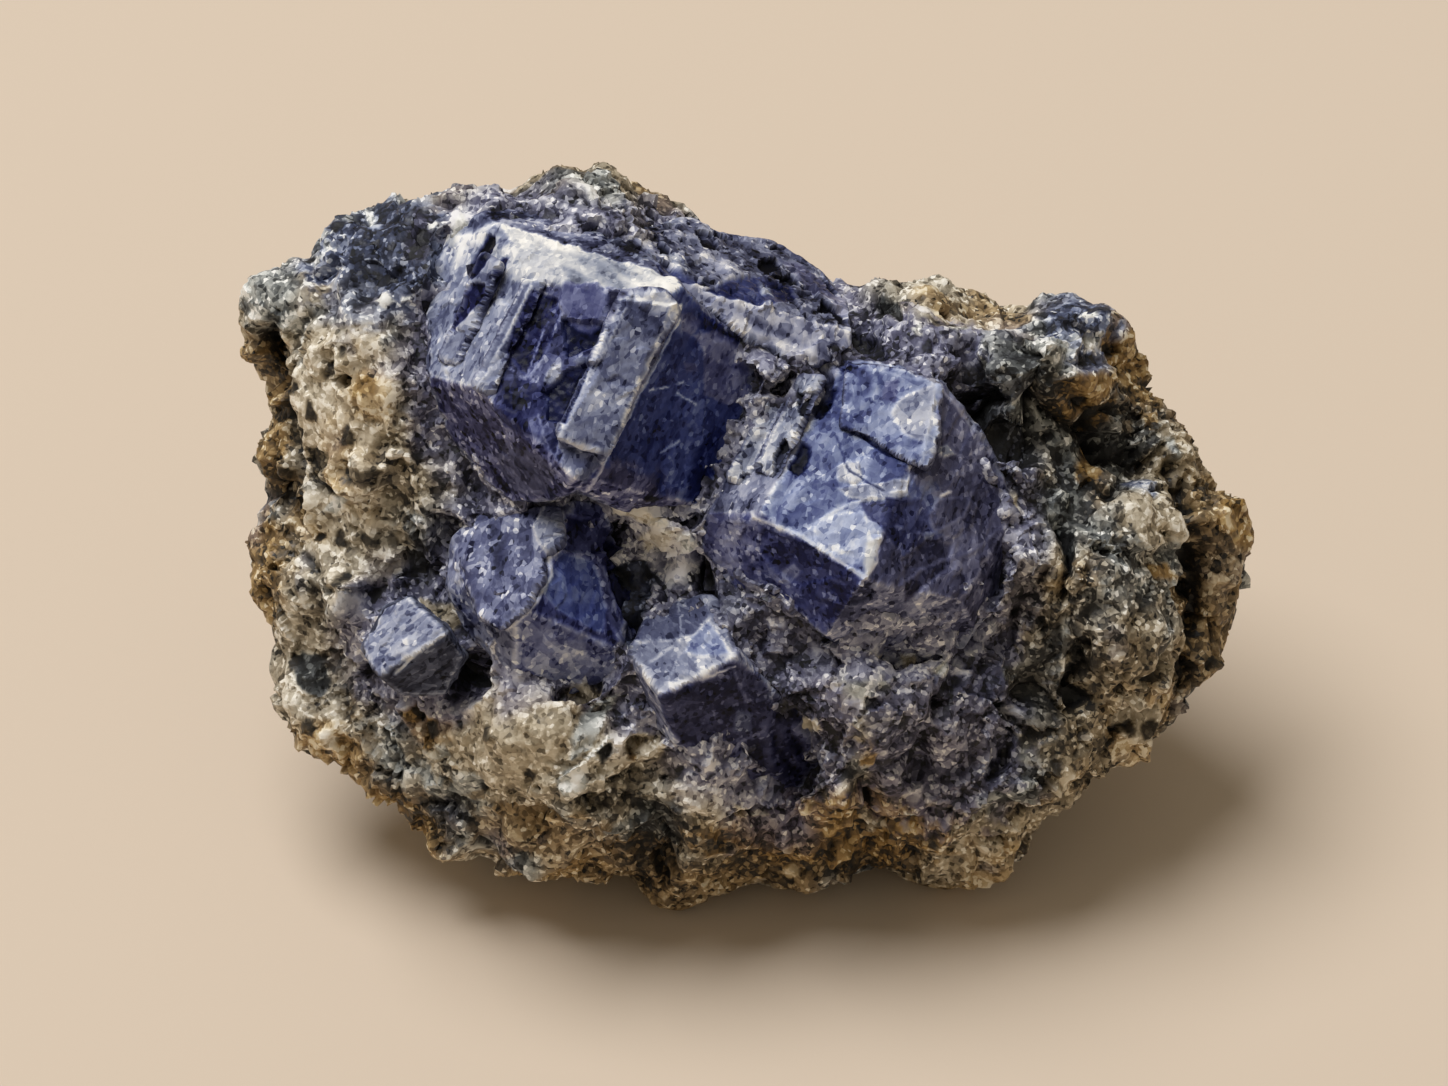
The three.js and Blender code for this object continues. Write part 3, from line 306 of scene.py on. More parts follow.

# Coarse single grains and gaps of the gneiss: colour, lightness, rise, convex seen outline. The dark grains
# that sink in are gaps and hollows whose darkness is painted shade.

GRAIN_BEND, GRAIN_BEND_NOISE = 0.16, (0.8, 171)
GRAIN_EDGE = (-0.12, 0.12)
GRAIN_TINT, GRAIN_CONTRAST = 0.9, 0.75
GNEISS_GRAINS = [
    # dark blue patch at the upper left
    ("navy", 0.24, 0.0, [(-23.0, 21.2), (-21.8, 21.2), (-21.8, 20.3), (-22.9, 20.1)]),
    ("violet", 0.08, -0.2,
     [(-20.9, 20.9), (-19.7, 20.7), (-19.3, 18.7), (-20.1, 17.6), (-21.5, 18.0), (-21.3, 19.7)]),
    ("navy", 0.36, 0.0, [(-24.5, 18.1), (-22.3, 18.1), (-22.6, 17.2), (-24.2, 17.2)]),
    ("navy", 0.14, 0.0, [(-24.4, 17.4), (-23.4, 16.9), (-23.5, 16.1), (-24.5, 16.5)]),
    ("grey", 0.92, 0.1, [(-23.2, 15.1), (-22.4, 15.6), (-22.1, 15.0), (-22.6, 14.4)]),
    ("grey", 0.95, 0.1, [(-23.8, 21.0), (-23.4, 20.7), (-23.5, 20.2), (-23.9, 20.5)]),
    ("grey", 0.95, 0.1, [(-20.0, 20.2), (-19.5, 20.2), (-19.4, 19.9), (-19.8, 19.5), (-20.1, 19.8)]),
    ("grey", 0.95, 0.1, [(-21.7, 15.3), (-21.1, 15.4), (-21.2, 15.0), (-21.7, 14.9)]),
    ("grey", 0.85, 0.1, [(-18.7, 18.4), (-17.8, 20.3), (-17.3, 19.7), (-18.1, 18.1)]),
    # left knob
    ("grey", 0.14, -0.1, [(-31.2, 15.1), (-30.7, 14.7), (-30.8, 14.0), (-31.2, 14.2)]),
    ("grey", 0.15, -0.1, [(-29.8, 14.2), (-28.8, 14.7), (-28.8, 13.9), (-29.4, 13.6)]),
    ("grey", 0.92, 0.0, [(-31.4, 15.6), (-30.9, 15.7), (-30.5, 15.1), (-31.0, 15.1)]),
    ("grey", 0.88, 0.0, [(-30.5, 14.4), (-30.0, 14.7), (-29.9, 13.9), (-30.4, 13.7)]),
    ("grey", 0.85, 0.0, [(-28.5, 14.2), (-27.9, 14.4), (-27.7, 13.4), (-28.3, 13.1)]),
    ("rust", 0.12, -0.5, [(-29.9, 12.8), (-29.2, 12.9), (-29.3, 11.9), (-30.2, 12.2)]),
    # cream mass and the brown layer left of it
    ("cream", 0.74, 0.0,
     [(-27.4, 10.9), (-26.0, 12.2), (-25.1, 11.7), (-25.7, 8.7), (-27.3, 7.5), (-27.8, 9.0)]),
    ("cream", 0.12, -0.5, [(-25.9, 11.1), (-25.4, 11.2), (-25.3, 10.5), (-25.7, 10.1)]),
    ("rust", 0.55, 0.0, [(-24.0, 10.1), (-22.8, 10.1), (-22.9, 9.0), (-24.2, 8.9)]),
    ("cream", 0.18, -0.2, [(-25.2, 12.2), (-24.4, 12.4), (-24.8, 11.4), (-25.2, 11.5)]),
    ("cream", 0.22, -0.4,
     [(-26.9, 6.2), (-25.8, 5.6), (-25.1, 4.0), (-25.1, 2.5), (-26.0, 3.1), (-26.8, 4.7)]),
    ("cream", 0.16, -0.3, [(-24.5, 4.7), (-22.6, 4.4), (-23.2, 3.6), (-24.5, 3.9)]),
    ("rust", 0.12, -0.6, [(-30.3, 8.4), (-28.5, 8.6), (-27.9, 7.8), (-28.8, 7.2), (-30.1, 7.5)]),
    ("rust", 0.14, -0.7, [(-28.2, 3.1), (-26.6, 3.2), (-26.6, 1.6), (-27.9, 1.7)]),
    ("grey", 0.80, 0.1, [(-26.0, 2.0), (-24.6, 3.6), (-24.3, 3.0), (-25.5, 1.6)]),
    # foliated lower left
    ("cream", 0.92, 0.1, [(-28.8, -5.6), (-28.2, -5.5), (-28.4, -6.4), (-28.8, -6.3)]),
    ("grey", 0.18, -0.1,
     [(-28.2, -7.2), (-26.7, -7.4), (-26.0, -8.8), (-26.3, -9.9), (-27.6, -9.4), (-28.2, -8.3)]),
    ("cream", 0.93, 0.1, [(-26.5, -12.0), (-26.0, -11.9), (-25.7, -12.6), (-26.0, -13.1)]),
    ("rust", 0.12, -0.4, [(-20.7, -10.3), (-20.2, -11.2), (-20.9, -11.8), (-21.6, -11.0)]),
    ("rust", 0.42, 0.0, [(-20.1, -11.0), (-19.2, -11.3), (-19.3, -13.1), (-20.2, -12.8)]),
    ("grey", 0.75, 0.1, [(-19.2, -12.8), (-18.5, -12.6), (-18.4, -13.4), (-18.9, -13.6)]),
    ("grey", 0.68, 0.1, [(-18.2, -14.1), (-16.0, -14.4), (-16.5, -15.6), (-18.5, -16.2)]),
    # rim and ground below the lower crystal
    ("cream", 0.64, 0.0, [(-20.5, -3.1), (-18.8, -3.8), (-18.0, -5.3), (-19.2, -5.5), (-20.4, -4.5)]),
    ("cream", 0.68, 0.1,
     [(-13.5, -8.9), (-11.7, -9.4), (-9.2, -8.9), (-9.8, -9.5), (-11.7, -10.0), (-12.9, -9.7)]),
    ("rust", 0.10, -0.5, [(-10.7, -9.8), (-9.0, -9.1), (-9.2, -9.6), (-10.7, -10.3)]),
    ("grey", 0.64, 0.2, [(-11.3, -12.2), (-9.2, -10.1), (-8.0, -10.0), (-9.8, -12.8), (-11.0, -13.3)]),
    ("grey", 0.85, 0.3, [(-10.1, -13.5), (-8.5, -12.0), (-8.4, -12.4), (-9.8, -13.8)]),
    ("grey", 0.05, -0.4, [(-9.3, -13.1), (-8.4, -12.4), (-8.5, -13.5), (-9.0, -14.1)]),
    ("grey", 0.78, 0.1, [(-11.5, -14.1), (-10.3, -13.8), (-9.8, -15.3), (-10.7, -16.0), (-11.5, -15.0)]),
    ("cream", 0.70, 0.1, [(-7.8, -12.5), (-6.7, -12.1), (-4.9, -12.8), (-5.4, -13.9), (-7.3, -14.1)]),
    ("rust", 0.15, -0.2, [(-7.3, -13.3), (-6.7, -13.5), (-6.8, -13.9), (-7.3, -13.8)]),
    # along the bottom edge
    ("violet", 0.85, 0.1, [(-2.9, -13.3), (-2.2, -13.1), (-1.8, -13.9), (-2.6, -14.1)]),
    ("violet", 0.62, 0.1, [(0.4, -14.4), (1.4, -14.3), (1.2, -15.3), (0.5, -16.0)]),
    ("grey", 0.90, 0.1, [(0.4, -17.0), (1.4, -17.2), (1.3, -17.4), (0.4, -17.3)]),
    ("cream", 0.82, 0.1, [(-1.3, -16.3), (-0.1, -16.6), (-0.3, -17.4), (-1.0, -17.0)]),
    ("cream", 0.72, 0.1, [(3.2, -11.3), (4.3, -11.4), (4.5, -12.2), (3.5, -12.1)]),
    ("rust", 0.60, 0.1, [(5.4, -19.1), (6.6, -19.0), (6.4, -19.9), (5.7, -19.9)]),
    ("rust", 0.62, 0.1, [(7.2, -13.9), (8.4, -13.6), (8.2, -14.4), (7.2, -14.4)]),
    ("cream", 0.62, 0.1, [(7.4, -17.2), (9.0, -18.5), (7.4, -18.6)]),
    ("grey", 0.72, 0.1, [(9.8, -17.0), (10.7, -17.0), (10.4, -17.5), (9.7, -17.3)]),
    # flakes below the right crystal
    ("violet", 0.82, 0.1, [(1.2, -4.9), (2.4, -4.9), (2.4, -5.6), (1.5, -5.6)]),
    ("cream", 0.70, 0.1, [(9.6, -7.2), (10.5, -7.0), (10.7, -7.8), (9.8, -8.0)]),
    ("cream", 0.84, 0.1, [(7.2, -7.0), (8.7, -7.2), (8.0, -7.5), (7.2, -7.4)]),
    ("grey", 0.90, 0.1, [(11.8, -8.0), (12.6, -7.5), (12.4, -8.6)]),
    ("grey", 0.78, 0.1, [(13.2, -5.3), (14.1, -5.1), (14.2, -6.1), (13.4, -6.4)]),
    ("violet", 0.24, 0.0, [(13.4, -7.8), (15.9, -7.5), (16.5, -9.4), (15.2, -10.0), (13.0, -9.4)]),
    # dark mass at the lower right
    ("cream", 0.78, 0.1, [(19.5, -3.9), (20.0, -4.1), (20.2, -4.9), (19.7, -4.9)]),
    ("grey", 0.74, 0.1, [(19.5, -5.5), (20.0, -5.3), (20.2, -6.3), (19.7, -6.4)]),
    ("cream", 0.68, 0.2, [(19.6, -7.8), (20.3, -7.6), (20.5, -8.3), (19.9, -8.5)]),
    ("grey", 0.06, -0.4, [(15.9, -10.0), (17.1, -10.0), (17.1, -10.8), (16.2, -11.1)]),
    ("grey", 0.08, -0.4, [(20.4, -9.4), (21.8, -10.0), (21.2, -10.8), (20.4, -10.3)]),
    ("cream", 0.64, 0.1,
     [(23.4, -9.4), (25.2, -9.7), (26.2, -11.3), (25.7, -12.8), (23.7, -12.5), (22.9, -11.0)]),
    # hollows painted dark as shade, and bright bits near the right edge
    ("grey", 0.05, -0.7, [(14.9, 9.7), (15.7, 9.7), (15.9, 8.1), (15.5, 6.2), (14.9, 6.9), (14.5, 8.7)]),
    ("grey", 0.05, -0.8, [(17.4, 8.7), (18.7, 9.4), (19.3, 8.1), (18.7, 6.5), (17.7, 7.2)]),
    ("grey", 0.85, 0.3, [(18.9, 8.3), (19.4, 8.4), (19.5, 7.9), (19.0, 7.8)]),
    ("rust", 0.50, 0.1,
     [(20.2, 9.7), (21.2, 10.1), (22.6, 10.0), (22.9, 9.2), (21.8, 8.1), (21.5, 7.5), (20.5, 7.4),
      (20.1, 8.4)]),
    ("rust", 0.08, -0.4, [(20.7, 8.7), (21.5, 8.9), (21.6, 8.1), (20.9, 8.0)]),
    ("rust", 0.10, -0.4, [(21.8, 8.1), (22.9, 9.1), (23.0, 8.1), (22.1, 6.2), (20.9, 5.9)]),
    ("rust", 0.58, 0.1, [(21.2, 5.3), (22.0, 5.1), (22.1, 4.1), (21.2, 3.9)]),
    ("navy", 0.72, 0.1, [(24.3, 3.9), (25.2, 4.5), (25.7, 3.7), (25.5, 2.6), (24.6, 2.6)]),
    ("cream", 0.72, 0.1, [(23.4, 2.2), (24.9, 2.3), (24.9, 0.9), (24.3, 0.5), (23.5, 1.4)]),
    ("cream", 0.74, 0.1, [(25.9, 1.2), (26.8, 1.6), (27.7, 0.3), (27.4, -0.3), (26.2, 0.1)]),
    ("rust", 0.50, 0.0, [(24.9, -1.6), (26.2, -1.4), (26.6, -2.2), (25.2, -2.4)]),
    ("grey", 0.68, 0.1, [(26.2, 6.5), (26.8, 6.5), (27.1, 5.0), (26.6, 5.1)]),
    ("grey", 0.05, -0.7, [(19.7, 1.2), (20.7, 1.2), (20.7, -0.6), (20.3, -2.2), (19.7, -1.3)]),
    ("rust", 0.52, 0.0, [(29.3, 1.9), (30.8, 1.7), (30.7, 0.6), (29.1, 0.7)]),
    ("rust", 0.06, -0.4, [(27.7, -1.0), (28.4, -1.0), (28.5, -2.0), (27.8, -2.1)]),
    ("cream", 0.92, 0.1, [(16.5, 3.1), (17.0, 2.5), (17.2, 1.7), (16.7, 2.0)]),
    # blue patches of the upper right
    ("navy", 0.16, 0.0, [(19.0, 14.2), (21.2, 14.5), (20.8, 13.4), (19.0, 13.2)]),
    ("navy", 0.20, 0.0, [(20.5, 11.9), (22.1, 11.6), (22.4, 10.7), (20.8, 11.1)]),
    ("grey", 0.92, 0.1, [(21.2, 14.7), (22.0, 14.4), (21.8, 13.9), (21.2, 14.1)]),
    # broken ground between the two large crystals, with its sunk gaps painted dark as shade
    ("violet", 0.60, 0.2, [(-0.1, 12.6), (1.8, 12.2), (2.2, 11.7), (1.5, 10.1), (0.7, 10.1), (0.1, 11.1)]),
    ("violet", 0.85, 0.1, [(2.7, 12.8), (3.7, 12.4), (3.7, 11.9), (3.0, 12.2)]),
    ("violet", 0.66, 0.1, [(4.6, 10.6), (5.3, 10.9), (5.5, 9.7), (4.9, 9.1), (4.5, 9.7)]),
    ("violet", 0.50, 0.1, [(2.5, 10.0), (3.2, 11.2), (3.2, 9.7), (2.6, 8.9)]),
    ("violet", 0.58, 0.1, [(1.0, 7.2), (2.4, 7.8), (2.6, 7.2), (1.8, 6.2), (1.2, 6.4)]),
    ("violet", 0.58, 0.1, [(2.7, 6.2), (3.2, 7.6), (3.7, 7.2), (3.5, 5.9), (3.0, 5.0)]),
    ("violet", 0.56, 0.1, [(2.0, 4.7), (2.6, 5.0), (2.7, 4.0), (2.1, 3.2)]),
    ("violet", 0.85, 0.1, [(-0.1, 2.5), (0.7, 2.8), (0.7, 2.2), (0.1, 1.7)]),
    ("violet", 0.60, 0.1, [(-0.3, 9.6), (0.4, 8.8), (0.0, 8.0), (-0.5, 8.6)]),
    ("violet", 0.07, -0.2, [(6.2, 10.3), (7.0, 10.6), (6.4, 8.7), (5.9, 7.5), (5.5, 8.7)]),
    ("violet", 0.07, -0.2, [(4.7, 5.9), (5.7, 6.9), (5.4, 5.0), (4.3, 4.0), (3.9, 4.5)]),
    ("violet", 0.09, -0.4, [(1.8, 3.4), (3.4, 4.4), (2.7, 3.1), (1.5, 2.4)]),
    ("violet", 0.08, -0.3, [(1.2, 8.7), (2.7, 9.1), (2.4, 8.4), (1.2, 8.0)]),
    # dark wedge beside the lower crystal, and pale grains above it
    ("navy", 0.13, 0.35,
     [(-8.3, -1.5), (-6.4, -1.3), (-5.5, -2.5), (-6.1, -4.2), (-7.1, -6.8), (-8.2, -6.2)]),
    ("cream", 0.95, 0.2, [(-8.6, 1.9), (-6.5, 2.1), (-4.9, 1.2), (-5.2, 0.8), (-7.0, 1.1), (-8.6, 1.4)]),
    ("cream", 0.86, 0.3, [(-6.8, 0.2), (-5.6, 0.9), (-4.4, 0.4), (-4.9, -0.6), (-6.3, -0.7)]),
    ("violet", 0.86, 0.3, [(-6.1, -0.9), (-4.6, -0.7), (-3.4, -1.2), (-4.2, -2.6), (-5.6, -2.2)]),
    ("grey", 0.90, 0.3, [(-4.3, 0.3), (-3.4, 0.5), (-3.1, -0.6), (-4.0, -0.8)]),
    # above the crest
    ("grey", 0.95, 0.1, [(-10.2, 22.6), (-9.7, 22.3), (-9.2, 21.7), (-9.4, 21.6), (-10.1, 22.2)]),
    ("grey", 0.16, 0.0, [(-14.5, 20.5), (-13.2, 20.5), (-13.2, 20.1), (-14.7, 20.1)]),
    ("violet", 0.20, 0.0, [(-8.8, 20.5), (-7.6, 20.3), (-7.4, 18.7), (-8.5, 19.0)]),
    ("grey", 0.10, -0.4, [(8.0, 15.0), (9.6, 15.0), (9.6, 13.9), (8.0, 13.9)]),
    ("grey", 0.90, 0.1, [(10.2, 13.4), (10.9, 13.6), (11.0, 13.0), (10.4, 12.9)]),
    ("violet", 0.14, -0.2, [(7.2, 12.8), (8.4, 12.5), (8.7, 11.2), (7.4, 11.1)]),
]

# Flakes set in the gneiss: coarse grains whose random number is over the pale limit or under the dark one

FLAKES = (1.3, 162)
FLAKE_BEND, FLAKE_BEND_NOISE = 0.2, (1.0, 161)
PALE_FLAKES, DARK_FLAKES = 0.94, 0.05
FLAKE_BORDER, FLAKE_REACH = (0.10, 0.24), (0.60, 0.48)
PALE_TONE, PALE_TONE_RANGE, DARK_TONE = 0.60, 0.3, 0.10
FLAKE_HEIGHT, FLAKE_TILT, FLAKE_CALM = 0.04, 0.3, 0.7

# Layers that show as thin bands along a line: seen points, half width of the zone, band spacing, tone, height

BAND_WAVE, BAND_WAVE_NOISE = 0.25, (1.6, 301)
BAND_RAGGED, BAND_EDGE_NOISE, BAND_EDGE = 0.25, (2.0, 304), (1.0, 0.6)
BAND_ALONG, BAND_DEEP = 0.10, 0.2
STRIPE_SEED, STRIPE_GAIN = 308, 1.5
BANDS = [
    ([(-18.9, 16.4), (-18.2, 19.0), (-16.2, 20.2), (-12.9, 20.2), (-9.1, 18.8), (-6.0, 16.4), (-2.9, 14.2),
      (1.5, 12.0), (6.4, 9.4)], 2.4, 0.40, 0.34, 0.10),
    ([(-9.0, 21.4), (-3.0, 18.4), (1.5, 15.6), (6.4, 13.0)], 2.0, 0.5, 0.24, 0.10),
    ([(-2.0, 12.0), (-3.2, 8.0), (-4.8, 3.0)], 1.0, 0.55, 0.10, 0.04),
    ([(4.6, 10.6), (2.4, 5.4), (0.4, 1.6)], 2.4, 0.55, 0.24, 0.14),
    ([(7.0, 14.6), (12.0, 15.2), (17.0, 14.4)], 1.8, 0.34, 0.30, 0.14),
    ([(-28.6, -4.0), (-27.0, -9.0), (-24.0, -14.0), (-20.0, -19.0)], 3.6, 0.45, 0.24, 0.14),
    ([(25.0, -1.0), (21.6, -6.0), (18.4, -11.0), (12.0, -16.0), (7.0, -17.4)], 4.2, 0.55, 0.16, 0.18),
    ([(3.0, -12.0), (5.4, -15.6), (6.4, -19.0)], 2.8, 0.45, 0.20, 0.14),
]

# The skin of the crystals: growth lines, steps, tilted flakes, waves and chipped edges, with painted shade on
# the lower steps and in the gaps, and a bright band along the edges that is partly scuffing and partly
# painted highlight

FACET_FACING = (-0.1, 0.15)
SAME_WAY, SAME_PLANE, NEARLY_FLAT, CORNER_DIGITS = 0.999, 0.08, 0.96, 3
EDGE_WAVE, EDGE_WAVE_NOISE = 0.6, (1.3, 201, 3)
EDGE_GRAIN, EDGE_GRAINS = 1.1, (0.6, 203)
LINE_STRETCH = np.array([1.0, 1.0, 0.16])
FINE_LINES, FINE_LINE_SHARE, BROAD_LINES = (0.55, 211), 0.6, (1.3, 212)
LINE_HEIGHT, FLAKY_LINE_HEIGHT = 0.03, 0.12
LINE_LIGHT, FLAKY_LINE_LIGHT = 0.04, 0.10
STEP_STRETCH = np.array([1.0, 1.0, 0.60])
GRAIN_STRETCH = np.array([1.0, 1.0, 0.7])
STEPS, STEP_BEND, STEP_BEND_NOISE = (1.3, 222), 0.25, (1.2, 221)
STEP_DEPTH, FLAKY_STEP_DEPTH = 0.06, 0.38
# Painted shade: each step is darker the deeper it is set, and more so in flaky skin
STEP_SHADE, FLAKY_STEP_SHADE = 0.05, 0.16
TILTED_FLAKES, FLAKY_TILT = (0.8, 231), 0.10
SKIN_GRIT, SKIN_GRIT_HEIGHT = (0.4, 241), 0.025
SKIN_WAVE, SKIN_WAVE_HEIGHT = (0.8, 242, 2), 0.05
SLOW_WAVE, SLOW_WAVE_HEIGHT = (4.0, 244), 0.16
EDGE_CHIPS, EDGE_CHIP_BORDER = (1.1, 243), (0.05, 0.45)
EDGE_CHIP_DEPTH, EDGE_CHIP_REACH, EDGE_CHIP_RAGGED = 0.18, (0.5, 0.1), 0.12
FLAKE_GAP, VERY_FLAKY = (0.70, 0.86), (0.6, 1.0)
GAP_DEPTH, GAP_SHADE = 0.22, 0.50
# A bright band along the sharp edges, partly scuffed skin and partly painted highlight: how bright, reach,
# raggedness
EDGE_SCUFF_HIGHLIGHT, EDGE_SCUFF_HIGHLIGHT_REACH, EDGE_SCUFF_HIGHLIGHT_RAGGED = 0.22, (0.20, 0.04), 0.09

# Where the gneiss meets a crystal, the crystal's skin turns pale and rough, on some less than on others

RIM_REACH, RIM_RAGGED = (0.8, 0.25), 0.4
RIM_MASKS = {"pale": 0.8, "contrast": 1.2, "light": 0.42}
RIM_NOISE, RIM_HEIGHT = (0.9, 261, 2), 0.22
RIM_SHARE = {
    "main_crystal": 1.0,
    "right_crystal": 0.7,
    "lower_crystal": 0.25,
    "left_crystal": 0.6,
    "foot_crystal": 0.6,
}

# The masks that the material of the crystals reads, the value of each mask for each finish that a skin can
# have, and how flaky each finish is

MASKS_OF_IOLITE = ("light", "contrast", "smoke", "pale", "gloss")
FINISHES = {
    "indigo glass": (0.28, 0.62, 0.0, 0.0, 1.0),
    "navy mottle": (0.33, 0.90, 0.48, 0.0, 0.8),
    "clouded blue": (0.32, 0.90, 0.50, 0.15, 0.6),
    "frosted grey": (0.52, 0.85, 0.35, 0.55, 0.3),
    "pale ribs": (0.59, 0.95, 0.35, 0.60, 0.2),
    "white crust": (0.84, 0.55, 0.3, 1.0, 0.0),
    "smoky end": (0.36, 1.35, 0.85, 0.0, 0.7),
    "bright face": (0.57, 0.80, 0.0, 0.25, 0.5),
    "smooth violet": (0.36, 0.70, 1.0, 0.25, 0.8),
    "lavender grain": (0.50, 1.0, 0.9, 0.4, 0.3),
    "broken flakes": (0.58, 1.1, 0.5, 0.8, 0.2),
    "worn crest": (0.66, 0.95, 0.9, 0.5, 0.2),
    "dark slope": (0.36, 1.2, 1.0, 0.60, 0.4),
    "silver face": (0.56, 0.90, 0.4, 0.6, 0.5),
    "slate front": (0.25, 0.70, 0.75, 0.2, 0.6),
    "grey front": (0.31, 0.80, 0.6, 0.9, 0.4),
    "worn edge": (0.40, 1.0, 0.8, 0.5, 0.3),
    # painted shade: the black of voids and clefts, with a glassy gloss
    "void shade": (0.10, 0.35, 0.2, 0.2, 1.0),
    "violet cloud": (0.42, 0.60, 0.60, 0.0, 0.8),
    "lilac mottle": (0.50, 1.0, 0.5, 0.1, 0.6),
    "flecked lavender": (0.44, 1.25, 0.6, 0.35, 0.4),
}
FLAKY = {"broken flakes": 1.0, "worn crest": 0.6, "dark slope": 0.9, "pale ribs": 0.22, "clouded blue": 0.25,
         "white crust": 0.3, "lavender grain": 0.7}
LEAST_FLAKY = 0.14

# What each crystal shows: its growth direction, the finish of its skin, and a seen point on each facet

CRYSTALS = {
    "main_crystal": {
        "axis": (0.39, 0.90, -0.20),
        "finish": "worn edge",
        "facets": [
            ((-17.6, 12.0), "pale ribs"), ((-12.0, 11.0), "clouded blue"), ((-2.6, 9.0), "indigo glass"),
            ((-15.0, 6.0), "smoky end"), ((-6.0, 3.0), "smoky end"), ((-11.0, 17.0), "white crust"),
            ((-17.2, 16.6), "pale ribs"), ((-7.8, 10.0), "frosted grey"), ((-15.2, 12.2), "frosted grey"),
            ((1.0, 15.6), "dark slope"), ((3.6, 12.0), "worn crest"),
        ],
    },
    "right_crystal": {
        "axis": (0.43, 0.88, -0.25),
        "finish": "worn edge",
        "facets": [
            ((5.4, 2.2), "bright face"), ((2.6, -0.6), "navy mottle"), ((12.0, 2.0), "smooth violet"),
            ((9.0, -4.4), "lavender grain"), ((1.4, 6.8), "broken flakes"), ((8.6, 7.6), "bright face"),
            ((2.6, 7.0), "broken flakes"), ((0.6, 6.0), "broken flakes"), ((15.2, -1.6), "smooth violet"),
        ],
    },
    "lower_crystal": {
        "axis": (0.06, 0.97, -0.25),
        "finish": "worn edge",
        "facets": [
            ((-14.4, -1.0), "flecked lavender"), ((-9.0, -2.6), "navy mottle"),
            ((-10.6, -7.0), "lilac mottle"),
        ],
    },
    "left_crystal": {
        "axis": (0.85, 0.5, 0.1),
        "finish": "grey front",
        "facets": [((-21.0, -5.8), "silver face"), ((-20.0, -8.0), "grey front")],
    },
    "foot_crystal": {
        "axis": (0.55, -0.8, 0.2),
        "finish": "worn edge",
        "facets": [
            ((-3.6, -7.2), "silver face"), ((-1.4, -11.0), "slate front"), ((-5.4, -10.4), "frosted grey"),
        ],
    },
}

# Patches on each crystal: the finish it shows on, mask, seen middle, half lengths, turn, value

CRYSTAL_PATCHES = {
    "main_crystal": [
        ("indigo glass", "light", (-2.2, 11.6), (2.6, 3.4), 30, 0.33),
        ("indigo glass", "light", (-1.4, 5.4), (2.0, 3.8), -25, 0.20),
        ("indigo glass", "light", (-7.4, 3.0), (2.4, 1.6), -25, 0.32),
        ("indigo glass", "smoke", (-7.4, 3.0), (2.6, 1.8), -25, 0.9),
        ("clouded blue", "light", (-10.8, 15.0), (2.6, 1.6), -20, 0.50),
        ("clouded blue", "smoke", (-10.8, 15.0), (2.6, 1.6), -20, 0.7),
        ("white crust", "light", (-12.2, 16.3), (2.8, 0.8), -8, 0.50),
        ("white crust", "smoke", (-12.2, 16.3), (3.0, 0.9), -8, 0.8),
        ("any", "light", (-13.6, 17.2), (2.6, 1.2), -24, 0.80),
        ("any", "pale", (-13.6, 17.2), (2.6, 1.2), -24, 0.9),
        ("any", "light", (-17.8, 18.4), (1.4, 1.6), -24, 0.72),
        ("any", "light", (-8.6, 16.4), (2.2, 0.8), -24, 0.72),
    ],
    "right_crystal": [
        ("bright face", "light", (6.4, 0.2), (2.6, 1.8), 20, 0.76),
        ("bright face", "light", (8.9, 4.2), (1.4, 1.4), 20, 0.36),
        ("navy mottle", "light", (-1.4, 0.4), (2.2, 3.2), 20, 0.50),
        ("navy mottle", "smoke", (-1.4, 0.4), (2.4, 3.4), 20, 0.7),
        ("navy mottle", "light", (4.2, -1.2), (2.2, 1.2), -30, 0.15),
        ("smooth violet", "light", (10.4, 0.6), (1.6, 3.0), 20, 0.40),
        ("smooth violet", "smoke", (10.2, 1.6), (2.0, 3.0), 20, 0.2),
    ],
}
